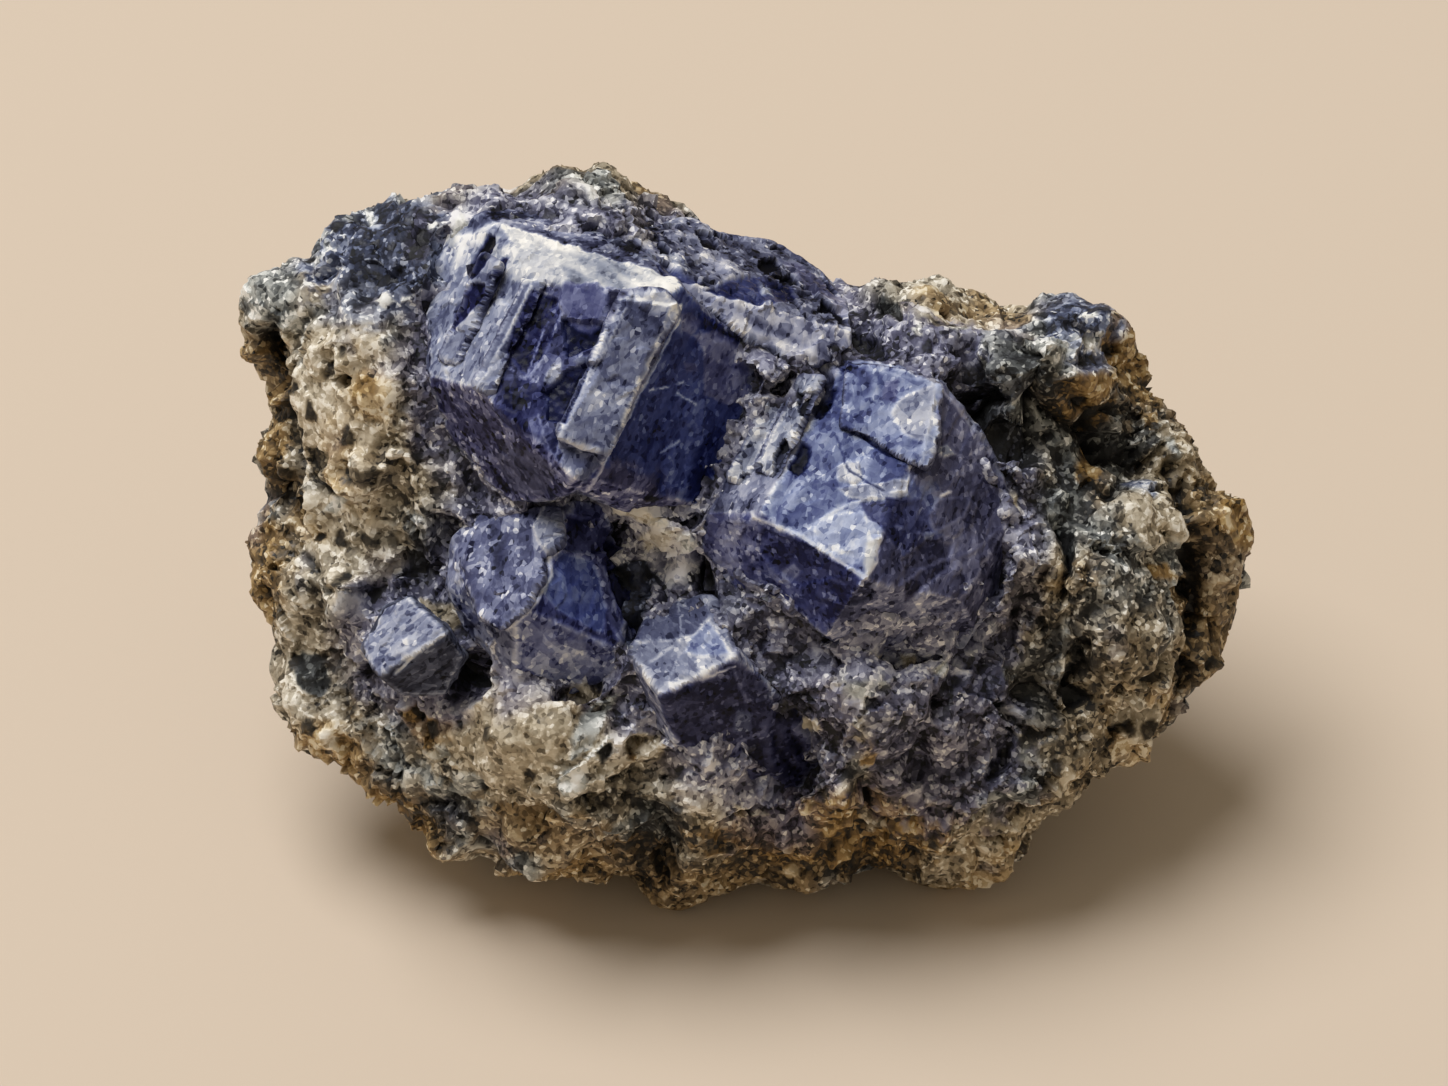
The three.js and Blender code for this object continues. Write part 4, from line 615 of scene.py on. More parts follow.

# Broken faces within the facets of each crystal: finish, lightness, rise, brightness of the painted highlight
# along its edge, and its convex seen outline. The darkest sunk ones are painted shade in voids and clefts.

BREAK_BEND, BREAK_BEND_NOISE = 0.09, (0.7, 271)
BREAK_EDGE, BREAK_RIM = (-0.09, 0.09), (0.17, 0.05)
BREAK_RIM_NOISE, BREAK_RIM_GAPS = (0.8, 272), (-0.5, 0.1)
BREAKS = {
    "main_crystal": [
        # left part
        ("void shade", 0.12, -0.2, 0.1,
         [(-16.1, 18.9), (-15.6, 18.9), (-15.5, 18.3), (-16.6, 16.5), (-17.3, 15.9), (-17.4, 16.7)]),
        ("void shade", 0.15, -0.1, 0.1,
         [(-15.1, 17.5), (-14.6, 17.5), (-14.9, 16.8), (-15.5, 16.1), (-15.8, 16.5)]),
        ("navy mottle", 0.16, -0.25, 0.1,
         [(-16.2, 16.0), (-16.3, 15.2), (-17.3, 13.9), (-18.4, 12.9), (-18.2, 14.4), (-17.0, 15.9)]),
        ("navy mottle", 0.18, -0.15, 0.2,
         [(-13.3, 15.6), (-11.7, 15.0), (-11.5, 14.2), (-12.4, 11.9), (-13.6, 10.1), (-15.0, 11.7),
          (-14.4, 13.6)]),
        ("void shade", 0.09, -0.4, 0.1, [(-11.5, 13.7), (-8.7, 13.5), (-9.2, 12.2), (-11.2, 11.3)]),
        ("violet cloud", 0.44, 0.12, 0.1,
         [(-11.3, 15.9), (-9.2, 15.9), (-8.5, 14.7), (-9.2, 13.4), (-9.8, 12.8), (-11.0, 13.4),
          (-11.7, 14.7)]),
        ("void shade", 0.12, -0.35, 0.1,
         [(-11.3, 10.5), (-9.2, 11.1), (-9.5, 10.2), (-10.3, 8.9), (-11.3, 7.2), (-12.4, 7.5), (-12.6, 9.1)]),
        ("navy mottle", 0.24, 0.0, 0.1,
         [(-15.4, 10.0), (-13.5, 10.1), (-12.6, 9.2), (-12.4, 7.5), (-12.9, 6.2), (-15.1, 7.2),
          (-15.7, 8.7)]),
        ("smooth violet", 0.34, 0.0, 0.0,
         [(-15.4, 6.2), (-12.9, 5.6), (-11.7, 4.4), (-12.6, 2.8), (-14.5, 3.1), (-15.4, 4.7)]),
        ("silver face", 0.55, 0.05, 0.1,
         [(-12.6, 9.9), (-12.1, 10.7), (-11.5, 11.0), (-11.6, 10.1), (-12.3, 9.7)]),
        ("frosted grey", 0.50, 0.1, 0.1,
         [(-10.7, 11.1), (-10.4, 11.4), (-9.3, 11.4), (-9.4, 11.1), (-10.4, 10.9)]),
        # the raised bar
        ("smooth violet", 0.18, -0.2, 0.0, [(-8.6, 15.5), (-7.5, 15.4), (-7.7, 14.7), (-8.6, 12.9)]),
        ("frosted grey", 0.48, 0.1, 0.35, [(-7.8, 15.1), (-4.7, 14.6), (-8.7, 5.3), (-11.7, 6.4)]),
        ("frosted grey", 0.32, -0.1, 0.0,
         [(-8.7, 9.9), (-8.2, 10.3), (-7.8, 10.2), (-7.1, 9.5), (-7.9, 9.5)]),
        ("frosted grey", 0.37, 0.0, 0.25,
         [(-11.7, 6.4), (-8.8, 5.4), (-9.2, 4.7), (-10.1, 3.7), (-11.3, 4.5)]),
        # cloudy upper right of the dark face
        ("violet cloud", 0.41, 0.0, 0.0,
         [(-2.9, 11.7), (-0.7, 12.2), (0.1, 11.1), (0.2, 9.4), (-1.2, 8.4), (-2.8, 9.1)]),
        ("violet cloud", 0.54, 0.0, 0.0,
         [(-3.4, 12.8), (-2.2, 13.2), (-0.7, 12.4), (-0.5, 11.1), (-1.5, 10.9), (-2.9, 11.7)]),
        ("violet cloud", 0.40, 0.0, 0.0,
         [(-4.3, 14.2), (-3.5, 14.2), (-2.9, 13.7), (-3.5, 12.8), (-4.3, 13.1)]),
        ("violet cloud", 0.42, 0.0, 0.0, [(-4.1, 11.2), (-3.4, 11.1), (-3.2, 10.6), (-3.9, 10.5)]),
        ("white crust", 0.95, 0.1, 0.0, [(-4.8, 14.8), (-4.2, 14.8), (-4.3, 14.4), (-4.9, 14.5)]),
        ("white crust", 0.85, 0.1, 0.0, [(-18.7, 18.4), (-17.8, 20.3), (-17.3, 19.7), (-18.1, 18.1)]),
        # flakes on the slope behind the crest
        ("broken flakes", 0.58, 0.15, 0.1,
         [(-5.5, 17.7), (-4.6, 17.8), (-3.5, 17.0), (-3.2, 16.7), (-4.1, 16.7)]),
        ("broken flakes", 0.52, 0.15, 0.1, [(-7.1, 17.6), (-6.3, 17.7), (-5.7, 17.4), (-6.6, 17.2)]),
        ("void shade", 0.15, -0.2, 0.15,
         [(-2.6, 15.6), (0.2, 16.5), (2.7, 15.9), (3.3, 15.0), (0.8, 14.7), (-1.0, 15.0)]),
        ("broken flakes", 0.44, 0.1, 0.1, [(0.7, 16.1), (1.5, 15.9), (1.8, 15.2), (1.0, 15.4)]),
        ("smooth violet", 0.38, 0.0, 0.1, [(2.1, 17.4), (3.3, 17.2), (6.2, 14.7), (6.5, 13.7), (4.6, 15.0)]),
        ("void shade", 0.15, -0.2, 0.15,
         [(-5.7, 17.4), (-4.7, 17.0), (-2.9, 16.2), (-3.5, 15.9), (-5.4, 16.6)]),
    ],
    "right_crystal": [
        # bright faces
        ("bright face", 0.54, 0.0, 0.1,
         [(1.5, 2.0), (3.3, 3.7), (5.5, 4.0), (6.5, 2.5), (4.6, 1.2), (3.3, 0.3), (1.8, 1.1)]),
        ("bright face", 0.72, 0.05, 0.15,
         [(4.3, 1.2), (5.5, 1.4), (6.8, 2.0), (7.4, 1.4), (7.7, 0.0), (7.5, -1.3), (5.7, -0.8), (4.3, -0.3)]),
        ("silver face", 0.70, 0.15, 0.15,
         [(5.6, 4.4), (6.2, 4.8), (7.0, 4.7), (7.2, 3.7), (6.8, 3.3), (5.8, 3.6)]),
        ("silver face", 0.62, 0.1, 0.15, [(5.8, 3.1), (9.9, 3.7), (9.9, 2.7), (8.7, 2.4), (6.5, 2.5)]),
        ("clouded blue", 0.40, -0.1, 0.1, [(7.0, 2.4), (8.7, 2.3), (8.4, 0.9), (7.6, 1.2)]),
        ("navy mottle", 0.22, -0.15, 0.0,
         [(1.2, 0.9), (5.2, -1.0), (6.5, -1.6), (5.9, -2.2), (3.4, -2.8), (2.1, -1.9), (0.9, -0.3)]),
        ("clouded blue", 0.44, 0.0, 0.1, [(2.3, -1.9), (3.0, -1.5), (3.4, -2.0), (2.7, -2.8), (2.2, -2.5)]),
        ("white crust", 0.82, 0.05, 0.0, [(7.5, -0.3), (8.3, 0.1), (7.7, -1.9), (7.5, -2.4), (7.3, -1.6)]),
        ("bright face", 0.54, 0.0, 0.15,
         [(7.1, 10.7), (9.3, 10.2), (12.0, 9.6), (11.2, 5.9), (10.5, 5.5), (7.9, 5.9), (6.3, 7.7)]),
        ("silver face", 0.60, 0.05, 0.2,
         [(9.6, 8.7), (11.8, 9.7), (11.8, 7.2), (11.0, 6.0), (9.9, 6.5), (9.1, 7.8)]),
        ("violet cloud", 0.46, 0.0, 0.0, [(8.7, 9.7), (9.6, 10.0), (9.3, 8.4), (8.4, 8.7)]),
        # violet side
        ("clouded blue", 0.27, 0.0, 0.05,
         [(8.7, 2.5), (10.9, 2.5), (11.8, 0.0), (10.5, -1.3), (9.0, -0.3), (8.2, 0.9)]),
        ("smooth violet", 0.31, 0.1, 0.15,
         [(11.8, 2.5), (13.4, 2.6), (14.3, 2.2), (13.9, 0.9), (12.7, 0.1), (11.5, 0.6), (11.2, 1.5)]),
        ("smooth violet", 0.40, 0.0, 0.1,
         [(12.1, 9.2), (13.4, 8.1), (15.9, 4.0), (14.9, 3.7), (12.7, 5.6), (11.8, 7.2)]),
        ("smooth violet", 0.22, -0.1, 0.1,
         [(11.2, 0.0), (12.7, -0.3), (12.4, -1.9), (9.9, -3.8), (9.5, -1.3)]),
        ("silver face", 0.70, 0.05, 0.0, [(11.0, 0.5), (11.5, 0.4), (11.5, 0.0), (11.0, 0.0)]),
        ("broken flakes", 0.56, 0.1, 0.1, [(11.5, 5.6), (12.4, 5.9), (12.9, 5.3), (12.1, 5.1)]),
    ],
    "lower_crystal": [
        ("flecked lavender", 0.49, 0.05, 0.1,
         [(-17.0, 1.2), (-15.4, 2.2), (-13.5, 1.2), (-12.4, -0.3), (-12.6, -2.2), (-13.5, -3.8),
          (-15.1, -5.3), (-17.0, -5.0), (-18.2, -3.8), (-18.6, -1.9), (-18.4, 0.0)]),
        ("navy mottle", 0.20, -0.3, 0.1,
         [(-11.3, 1.5), (-9.2, 1.2), (-7.6, -0.3), (-9.8, -1.0), (-11.5, -0.6)]),
        ("indigo glass", 0.47, -0.1, 0.1,
         [(-11.7, -0.8), (-9.8, -1.3), (-9.2, -2.5), (-8.8, -3.8), (-9.2, -6.9), (-10.7, -6.3), (-12.0, -4.4),
          (-13.2, -3.8), (-12.4, -2.2)]),
        ("lilac mottle", 0.60, 0.05, 0.03,
         [(-14.2, -6.3), (-12.9, -5.2), (-11.9, -5.6), (-10.8, -4.8), (-9.9, -5.5), (-9.2, -6.4),
          (-9.6, -7.6), (-9.2, -8.3), (-10.7, -8.9), (-12.3, -8.8), (-13.8, -7.8)]),
        ("silver face", 0.52, 0.12, 0.25,
         [(-13.2, 0.6), (-12.6, 1.9), (-11.7, 2.4), (-11.3, 1.2), (-11.5, -0.6), (-12.3, -1.0),
          (-12.9, -0.3)]),
        ("clouded blue", 0.37, 0.05, 0.2,
         [(-9.8, -1.3), (-8.8, -1.9), (-8.4, -3.8), (-7.6, -6.3), (-8.4, -6.9), (-9.0, -3.8)]),
        ("void shade", 0.11, -0.3, 0.0,
         [(-8.8, -1.9), (-6.7, -1.6), (-5.7, -2.5), (-6.3, -3.8), (-7.0, -6.3), (-8.2, -3.8)]),
    ],
    "left_crystal": [
        ("silver face", 0.82, 0.05, 0.0,
         [(-22.4, -7.2), (-22.0, -6.6), (-21.0, -6.1), (-20.9, -6.9), (-22.0, -7.5)]),
    ],
    "foot_crystal": [
        ("frosted grey", 0.42, 0.0, 0.3,
         [(-6.7, -5.0), (-3.5, -3.6), (-2.4, -3.6), (-2.2, -5.0), (-3.5, -6.3), (-6.8, -6.6)]),
        ("silver face", 0.60, 0.0, 0.3,
         [(-7.2, -6.9), (-5.1, -6.3), (-3.5, -6.1), (-2.3, -5.3), (-1.5, -6.3), (-0.9, -7.4), (-2.9, -8.5),
          (-5.3, -9.4), (-6.3, -8.1)]),
        ("bright face", 0.62, 0.05, 0.2,
         [(-3.5, -6.3), (-2.3, -5.3), (-1.5, -6.3), (-1.0, -7.3), (-2.6, -7.5), (-3.8, -7.2)]),
        ("slate front", 0.22, 0.0, 0.2,
         [(-5.3, -9.6), (-2.9, -8.6), (-0.9, -8.0), (-0.1, -10.0), (0.2, -12.2), (-1.7, -13.5), (-3.5, -13.5),
          (-4.7, -11.9)]),
        ("frosted grey", 0.38, 0.05, 0.0, [(-0.7, -10.3), (0.2, -10.8), (0.1, -11.9), (-0.9, -11.9)]),
        ("lavender grain", 0.46, 0.0, 0.1,
         [(-7.4, -7.2), (-6.3, -8.3), (-5.4, -9.5), (-4.7, -11.6), (-5.1, -11.9), (-6.3, -10.8),
          (-7.3, -9.4)]),
    ],
}

# Hollows broken into each crystal: seen middle, half lengths, turn, depth

# How dark the crystal hollows are painted: painted shade
HOLLOW_SHADE = 0.07
CRYSTAL_HOLLOWS = {
    "right_crystal": [
        ((4.8, 8.9), (0.6, 1.6), -24, 0.5),
        ((3.4, 4.9), (0.5, 1.2), -24, 0.4),
    ],
    "lower_crystal": [
        ((-7.4, -1.2), (1.2, 1.9), 25, 0.9),
    ],
}

# Lines on each crystal, painted highlights along edges and painted shade in cracks and under steps: seen
# points, half width, height, lightness

LINE_BEND, LINE_BEND_NOISE = 0.06, (0.7, 251)
LINE_GAPS_NOISE, LINE_GAPS = (0.9, 252), (-0.75, -0.2)
MARK_CALM = 0.7
CRYSTAL_LINES = {
    "main_crystal": [
        ([(-13.4, 15.8), (-16.6, 9.5)], 0.09, 0.05, 0.88),
        ([(-16.6, 9.5), (-15.4, 11.1), (-14.4, 10.5), (-13.8, 10.0), (-12.7, 11.2)], 0.07, 0.03, 0.66),
        ([(-12.4, 13.6), (-13.8, 10.0)], 0.07, 0.03, 0.66),
        ([(-11.6, 6.5), (-8.7, 5.5)], 0.10, 0.05, 0.85),
        ([(-11.6, 6.5), (-7.6, 14.4)], 0.08, 0.04, 0.72),
        ([(-8.7, 5.5), (-4.4, 13.8)], 0.09, 0.04, 0.78),
        ([(-8.7, 5.5), (-9.4, 3.9), (-10.6, 2.6)], 0.10, 0.05, 0.82),
        ([(-11.6, 6.5), (-12.0, 4.6), (-13.0, 7.8)], 0.06, 0.02, 0.56),
        ([(-6.1, 9.4), (-4.9, 9.6), (-4.1, 9.9)], 0.07, 0.03, 0.85),
        ([(-4.4, 9.2), (-3.3, 8.5)], 0.06, 0.03, 0.75),
        ([(-5.5, 5.5), (-4.3, 6.2)], 0.06, 0.03, 0.66),
    ],
    "right_crystal": [
        ([(0.4, 1.7), (3.8, 0.0), (5.7, -1.3), (7.4, -2.4)], 0.10, 0.05, 0.88),
        ([(6.2, 7.0), (7.2, 6.5), (8.7, 5.3), (10.8, 4.6)], 0.12, -0.12, 0.16),
        ([(4.5, 1.1), (6.6, 2.2), (9.8, 3.0), (10.1, 4.6)], 0.08, 0.05, 0.90),
        ([(5.6, 6.4), (6.4, 4.2), (8.8, 2.8)], 0.07, -0.06, 0.30),
        ([(8.3, 0.2), (7.9, -1.5), (7.4, -2.4)], 0.10, 0.05, 0.92),
        ([(11.9, 9.6), (14.6, 6.2), (17.0, 1.7)], 0.10, 0.05, 0.66),
        ([(12.0, 2.7), (12.6, 3.0)], 0.11, 0.05, 0.97),
        ([(10.9, 4.6), (11.9, 9.6)], 0.10, 0.05, 0.80),
        ([(9.2, 0.8), (11.2, 0.2), (13.4, 1.4), (14.2, 3.8)], 0.12, 0.04, 0.46),
        ([(9.0, -3.2), (11.2, -1.6), (14.0, -0.8), (15.6, 0.6)], 0.12, 0.04, 0.42),
    ],
    "lower_crystal": [
        ([(-11.3, -0.3), (-12.3, -1.1), (-12.3, -2.3), (-13.3, -4.0), (-14.8, -5.5)], 0.12, 0.07, 0.88),
    ],
    "left_crystal": [
        ([(-22.0, -8.2), (-20.6, -7.0), (-18.4, -5.6)], 0.07, 0.04, 0.86),
    ],
    "foot_crystal": [
        ([(-6.9, -6.0), (-6.1, -4.5), (-2.9, -3.5)], 0.07, 0.03, 0.84),
        ([(-5.1, -9.5), (-0.8, -7.7)], 0.06, 0.04, 0.90),
        ([(-4.9, -9.3), (-3.9, -6.6), (-4.2, -4.2)], 0.05, 0.02, 0.72),
    ],
}

# The numbers that scramble a lattice cell into fixed noise

HASH_STEPS = (73856093, 19349663, 83492791)
HASH_SEED = 15731
HASH_MIX = 1274126177
HASH_MASK = 0x3FFFFFFF
HASH_SHIFTS = (13, 16)
LAST_SHIFT = 15
DIGIT_BITS = 10
DIGIT_MASK = 1023
NOISE_GAIN = 1.5
FADE = (6, 15, 10)
CORNERS = [np.array([x, y, z]) for x in (0, 1) for y in (0, 1) for z in (0, 1)]
NEIGHBOURS = [np.array([x, y, z]) for x in (-1, 0, 1) for y in (-1, 0, 1) for z in (-1, 0, 1)]


def coarser_when_quick(size):
    return size


def to_face(row_points):
    """Row-frame points in metres as face-frame millimetres."""
    return (row_points / MM - FACE_MIDDLE) @ FACE_AXES.T


def to_row(face_points):
    """Face-frame millimetres as row-frame points in metres."""
    return (face_points @ FACE_AXES + FACE_MIDDLE) * MM


def seen_at(points):
    """Where face-frame points show on the plane through the middle of the stone, from the camera."""
    scale = CAMERA[2] / (CAMERA[2] - points[:, 2:3])
    return CAMERA[:2] + (points[:, :2] - CAMERA[:2]) * scale


def smooth_step(low, high, value):
    """0 below low and 1 above high, with a soft rise between. The rise may be turned round."""
    share = np.clip((value - low) / (high - low), 0, 1)
    return share * share * (3 - 2 * share)


def unit(vectors, least=0.0):
    """Vectors at a length of 1, with a least length to divide by."""
    return vectors / (np.linalg.norm(vectors, axis=1, keepdims=True) + least)


# Noise

def lattice_bits(cells, seed):
    """Fixed scrambled bits for each whole-numbered lattice cell."""
    mixed = cells[:, 0] * HASH_STEPS[0] ^ cells[:, 1] * HASH_STEPS[1] ^ cells[:, 2] * HASH_STEPS[2]
    mixed = (mixed ^ seed * HASH_SEED) & HASH_MASK
    for shift in HASH_SHIFTS:
        mixed = (mixed ^ mixed >> shift) * HASH_MIX & HASH_MASK
    return mixed ^ mixed >> LAST_SHIFT


def three_digits(bits):
    """Three numbers from 0 to 1 out of the bits of each cell."""
    digits = [(bits >> DIGIT_BITS * place) & DIGIT_MASK for place in range(3)]
    return np.stack(digits, -1) / DIGIT_MASK


def three_signed(bits):
    """Three numbers from -1 to 1 out of the bits of each cell."""
    return three_digits(bits) * 2 - 1


def noise(points, size, seed):
    """Smooth noise from about -1 to 1, with lumps of the given size."""
    scaled = points / size
    base = np.floor(scaled).astype(np.int64)
    part = scaled - base
    fade = part**3 * (part * (part * FADE[0] - FADE[1]) + FADE[2])
    total = np.zeros(len(points))
    for corner in CORNERS:
        slope = three_signed(lattice_bits(base + corner, seed))
        weight = np.prod(np.where(corner, fade, 1 - fade), -1)
        total += weight * ((part - corner) * slope).sum(-1)
    return total * NOISE_GAIN


def rough_noise(points, size, seed, layers):
    """Noise with finer and weaker noise added on top, each layer half the size of the one before."""
    total = np.zeros(len(points))
    for layer in range(layers):
        total += noise(points, size / 2**layer, seed + layer) / 2**layer
    return total


def noise_vector(points, size, seed):
    """Three noises at once, to bend places with."""
    return np.stack([noise(points, size, seed + part) for part in range(3)], -1)


def bent_view(points, seen, bend, pattern):
    """Seen places bent a little by noise, so that what is drawn there gets uneven borders."""
    return seen + bend * noise_vector(points, *pattern)[:, :2]


def grains(points, size, seed):
    """The grain each point lies in: distances to its centre and to the next one, its bits and the offset."""
    scaled = points / size
    base = np.floor(scaled).astype(np.int64)
    nearest = np.full(len(points), FAR)
    second = np.full(len(points), FAR)
    bits = np.zeros(len(points), np.int64)
    offset = np.zeros_like(scaled)
    for step in NEIGHBOURS:
        cell = base + step
        cell_bits = lattice_bits(cell, seed)
        away = scaled - cell - three_digits(cell_bits)
        distance = np.sqrt((away * away).sum(-1))
        closer = distance < nearest
        second = np.where(closer, nearest, np.minimum(second, distance))
        nearest = np.where(closer, distance, nearest)
        bits = np.where(closer, cell_bits, bits)
        offset = np.where(closer[:, None], away, offset)
    return nearest, second, bits, offset


def cell_number(points, size, seed):
    """A random number from 0 to 1 for the grain each point lies in."""
    return three_digits(grains(points, size, seed)[2])[:, 0]


def facet_tilt(points, size, seed):
    """The height of broken grains, each cut off by a flat face of its own tilt, from about -0.5 to 0.5."""
    _, _, bits, offset = grains(points, size, seed)
    return (offset * three_signed(bits)).sum(-1)


def ragged_border(points, wave, wave_pattern, grain, grain_pattern):
    """How far a drawn border wanders at each point: waves, and steps from grain to grain."""
    steps = cell_number(points, *grain_pattern) - HALF_WAY
    return wave * rough_noise(points, *wave_pattern) + grain * steps


# Meshes as arrays

def link(thing):
    """Puts an object into the scene."""
    bpy.context.scene.collection.objects.link(thing)
    return thing


def mesh_points(mesh):
    """The vertices of a mesh as an array."""
    flat = np.empty(len(mesh.vertices) * 3)
    mesh.vertices.foreach_get("co", flat)
    return flat.reshape(-1, 3)


def mesh_normals(mesh):
    """The vertex normals of a mesh in the face frame."""
    flat = np.empty(len(mesh.vertices) * 3)
    mesh.vertex_normals.foreach_get("vector", flat)
    return flat.reshape(-1, 3) @ FACE_AXES.T


def mesh_edges(mesh):
    """The two vertices of each edge."""
    flat = np.empty(len(mesh.edges) * 2, np.int32)
    mesh.edges.foreach_get("vertices", flat)
    return flat.reshape(-1, 2)


def place_points(mesh, face_points):
    """Gives a mesh new vertex places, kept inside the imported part's box."""
    row = np.clip(to_row(face_points), np.array(cad_box[0]), np.array(cad_box[1]))
    mesh.vertices.foreach_set("co", row.ravel())
    mesh.update()


def spread(values, edges, rounds):
    """Rows of values averaged with their neighbours along the edges, a number of times."""
    count = np.bincount(edges.ravel(), minlength=len(values))[:, None] + 1.0
    for _ in range(rounds):
        total = values.copy()
        for column in range(values.shape[1]):
            part = values[:, column]
            total[:, column] += np.bincount(edges[:, 0], part[edges[:, 1]], len(part))
            total[:, column] += np.bincount(edges[:, 1], part[edges[:, 0]], len(part))
        values = total / count
    return values


def store_masks(mesh, masks):
    """Keeps each mask on the vertices, where the materials read it by name."""
    for name, values in masks.items():
        attribute = mesh.attributes.new(name, "FLOAT", "POINT")
        attribute.data.foreach_set("value", values.astype(np.float32))


def modified(piece, name):
    """The piece's mesh with its modifiers applied, under a new name. The piece itself is removed."""
    graph = bpy.context.evaluated_depsgraph_get()
    mesh = bpy.data.meshes.new_from_object(piece.evaluated_get(graph))
    rough = piece.data
    bpy.data.objects.remove(piece)
    bpy.data.meshes.remove(rough)
    mesh.name = name
    return mesh


def add_grown_solid(joined, node_name, grown):
    """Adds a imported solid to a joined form, with every vertex moved out a little."""
    solid = bmesh.new()
    solid.from_mesh(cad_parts[node_name].data)
    bmesh.ops.remove_doubles(solid, verts=solid.verts, dist=WELD)
    solid.normal_update()
    for vertex in solid.verts:
        vertex.co += vertex.normal * grown * MM
    part = bpy.data.meshes.new("part")
    solid.to_mesh(part)
    joined.from_mesh(part)
    bpy.data.meshes.remove(part)
    solid.free()


def even_mesh(growth, grid, name):
    """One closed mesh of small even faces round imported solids, each first grown by its own amount."""
    joined = bmesh.new()
    for node_name, grown in growth.items():
        add_grown_solid(joined, node_name, grown)
    mesh = bpy.data.meshes.new(name)
    joined.to_mesh(mesh)
    joined.free()
    piece = link(bpy.data.objects.new(name, mesh))
    even = piece.modifiers.new("even faces", "REMESH")
    even.mode = "VOXEL"
    even.voxel_size = coarser_when_quick(grid) * MM
    return without_loose_shells(modified(piece, name))


def without_loose_shells(mesh):
    """The mesh with only its largest connected shell kept."""
    edges = mesh_edges(mesh)
    label = np.arange(len(mesh.vertices))
    while True:
        lowest = label.copy()
        np.minimum.at(lowest, edges[:, 0], label[edges[:, 1]])
        np.minimum.at(lowest, edges[:, 1], label[edges[:, 0]])
        lowest = lowest[lowest]
        if (lowest == label).all():
            break
        label = lowest
    names, counts = np.unique(label, return_counts=True)
    if len(names) > 1:
        keep = label == names[counts.argmax()]
        form = bmesh.new()
        form.from_mesh(mesh)
        loose = [vertex for vertex in form.verts if not keep[vertex.index]]
        bmesh.ops.delete(form, geom=loose, context="VERTS")
        form.to_mesh(mesh)
        form.free()
    return mesh


def thin_out(mesh, keep_fine, kept_part, ratio):
    """Fewer faces, most of all where the surface is hidden. The part to keep fine has a weight of its own."""
    name = mesh.name
    piece = link(bpy.data.objects.new("thinning", mesh))
    group = piece.vertex_groups.new(name="coarse")
    group.add(np.flatnonzero(~keep_fine).tolist(), 1.0, "REPLACE")
    group.add(np.flatnonzero(keep_fine).tolist(), kept_part, "REPLACE")
    fewer = piece.modifiers.new("fewer faces", "DECIMATE")
    fewer.ratio = min(1.0, ratio)
    fewer.vertex_group = group.name
    fewer.vertex_group_factor = 1.0
    return modified(piece, name)


def shaded_piece(mesh):
    """A piece with smooth shading, and sharp edges where its faces meet at a steep angle."""
    mesh.shade_smooth()
    mesh.set_sharp_from_angle(angle=SHARP_ANGLE)
    return bpy.data.objects.new(mesh.name, mesh)


def packed_surface(node_name):
    """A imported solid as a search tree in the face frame, with each triangle's plane."""
    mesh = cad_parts[node_name].data
    points = to_face(mesh_points(mesh))
    mesh.calc_loop_triangles()
    triangles = np.array([tuple(t.vertices) for t in mesh.loop_triangles])
    corners = points[triangles]
    normals = unit(np.cross(corners[:, 1] - corners[:, 0], corners[:, 2] - corners[:, 0]), TINY)
    offsets = (normals * corners[:, 0]).sum(-1)
    tree = BVHTree.FromPolygons([Vector(p) for p in points], [tuple(t) for t in triangles.tolist()])
    return {"tree": tree, "normals": normals, "offsets": offsets, "corners": corners}


def nearest_on(surface, points):
    """For each point the nearest place on a packed surface, the triangle there, and the distance."""
    found = [surface["tree"].find_nearest(Vector(p)) for p in points]
    places = np.array([f[0] for f in found])
    triangles = np.array([f[2] for f in found])
    distances = np.array([f[3] for f in found])
    return places, triangles, distances


# Painting by named patches, lines and outlines

def paint(masks, name, weight, value):
    """Moves a mask towards a value, by a weight from 0 to 1 at each point."""
    masks[name] += weight * (value - masks[name])


def patch_weight(seen, middle, half_lengths, turn, ragged):
    """1 inside a turned ellipse with a ragged border, and 0 outside it."""
    angle = math.radians(turn)
    away = seen - np.array(middle)
    along = away[:, 0] * math.cos(angle) + away[:, 1] * math.sin(angle)
    across = away[:, 1] * math.cos(angle) - away[:, 0] * math.sin(angle)
    reach = np.hypot(along / half_lengths[0], across / half_lengths[1])
    return smooth_step(*PATCH_EDGE, reach + ragged * PATCH_RAGGED)


def from_straight(points, start, end):
    """Each point's offset from the nearest place on a straight line, that place's share, and the run."""
    start, run = np.array(start), np.array(end) - np.array(start)
    share = np.clip(((points - start) @ run) / max(run @ run, TINY), 0, 1)
    return points - start - share[:, None] * run, share, run


def line_weight(seen, line, half_width):
    """1 on a line through given points, and 0 away from it."""
    distance = np.full(len(seen), FAR)
    for start, end in zip(line[:-1], line[1:]):
        away, _, _ = from_straight(seen, start, end)
        distance = np.minimum(distance, np.linalg.norm(away, axis=1))
    return smooth_step(LINE_EDGE[0] * half_width, LINE_EDGE[1] * half_width, distance)


def inside_outline(seen, outline):
    """How far inside a convex outline each seen point lies, below 0 when outside it."""
    corners = np.array(outline)
    middle = corners.mean(0)
    near = np.flatnonzero((np.abs(seen - middle) < np.ptp(corners, 0) + OUTLINE_MARGIN).all(1))
    reach = np.full(len(near), FAR)
    for start, end in zip(corners, np.roll(corners, -1, 0)):
        inward = np.array([start[1] - end[1], end[0] - start[0]]) / np.linalg.norm(end - start)
        inward *= np.sign((middle - start) @ inward)
        reach = np.minimum(reach, (seen[near] - start) @ inward)
    inside = np.full(len(seen), -FAR)
    inside[near] = reach
    return inside


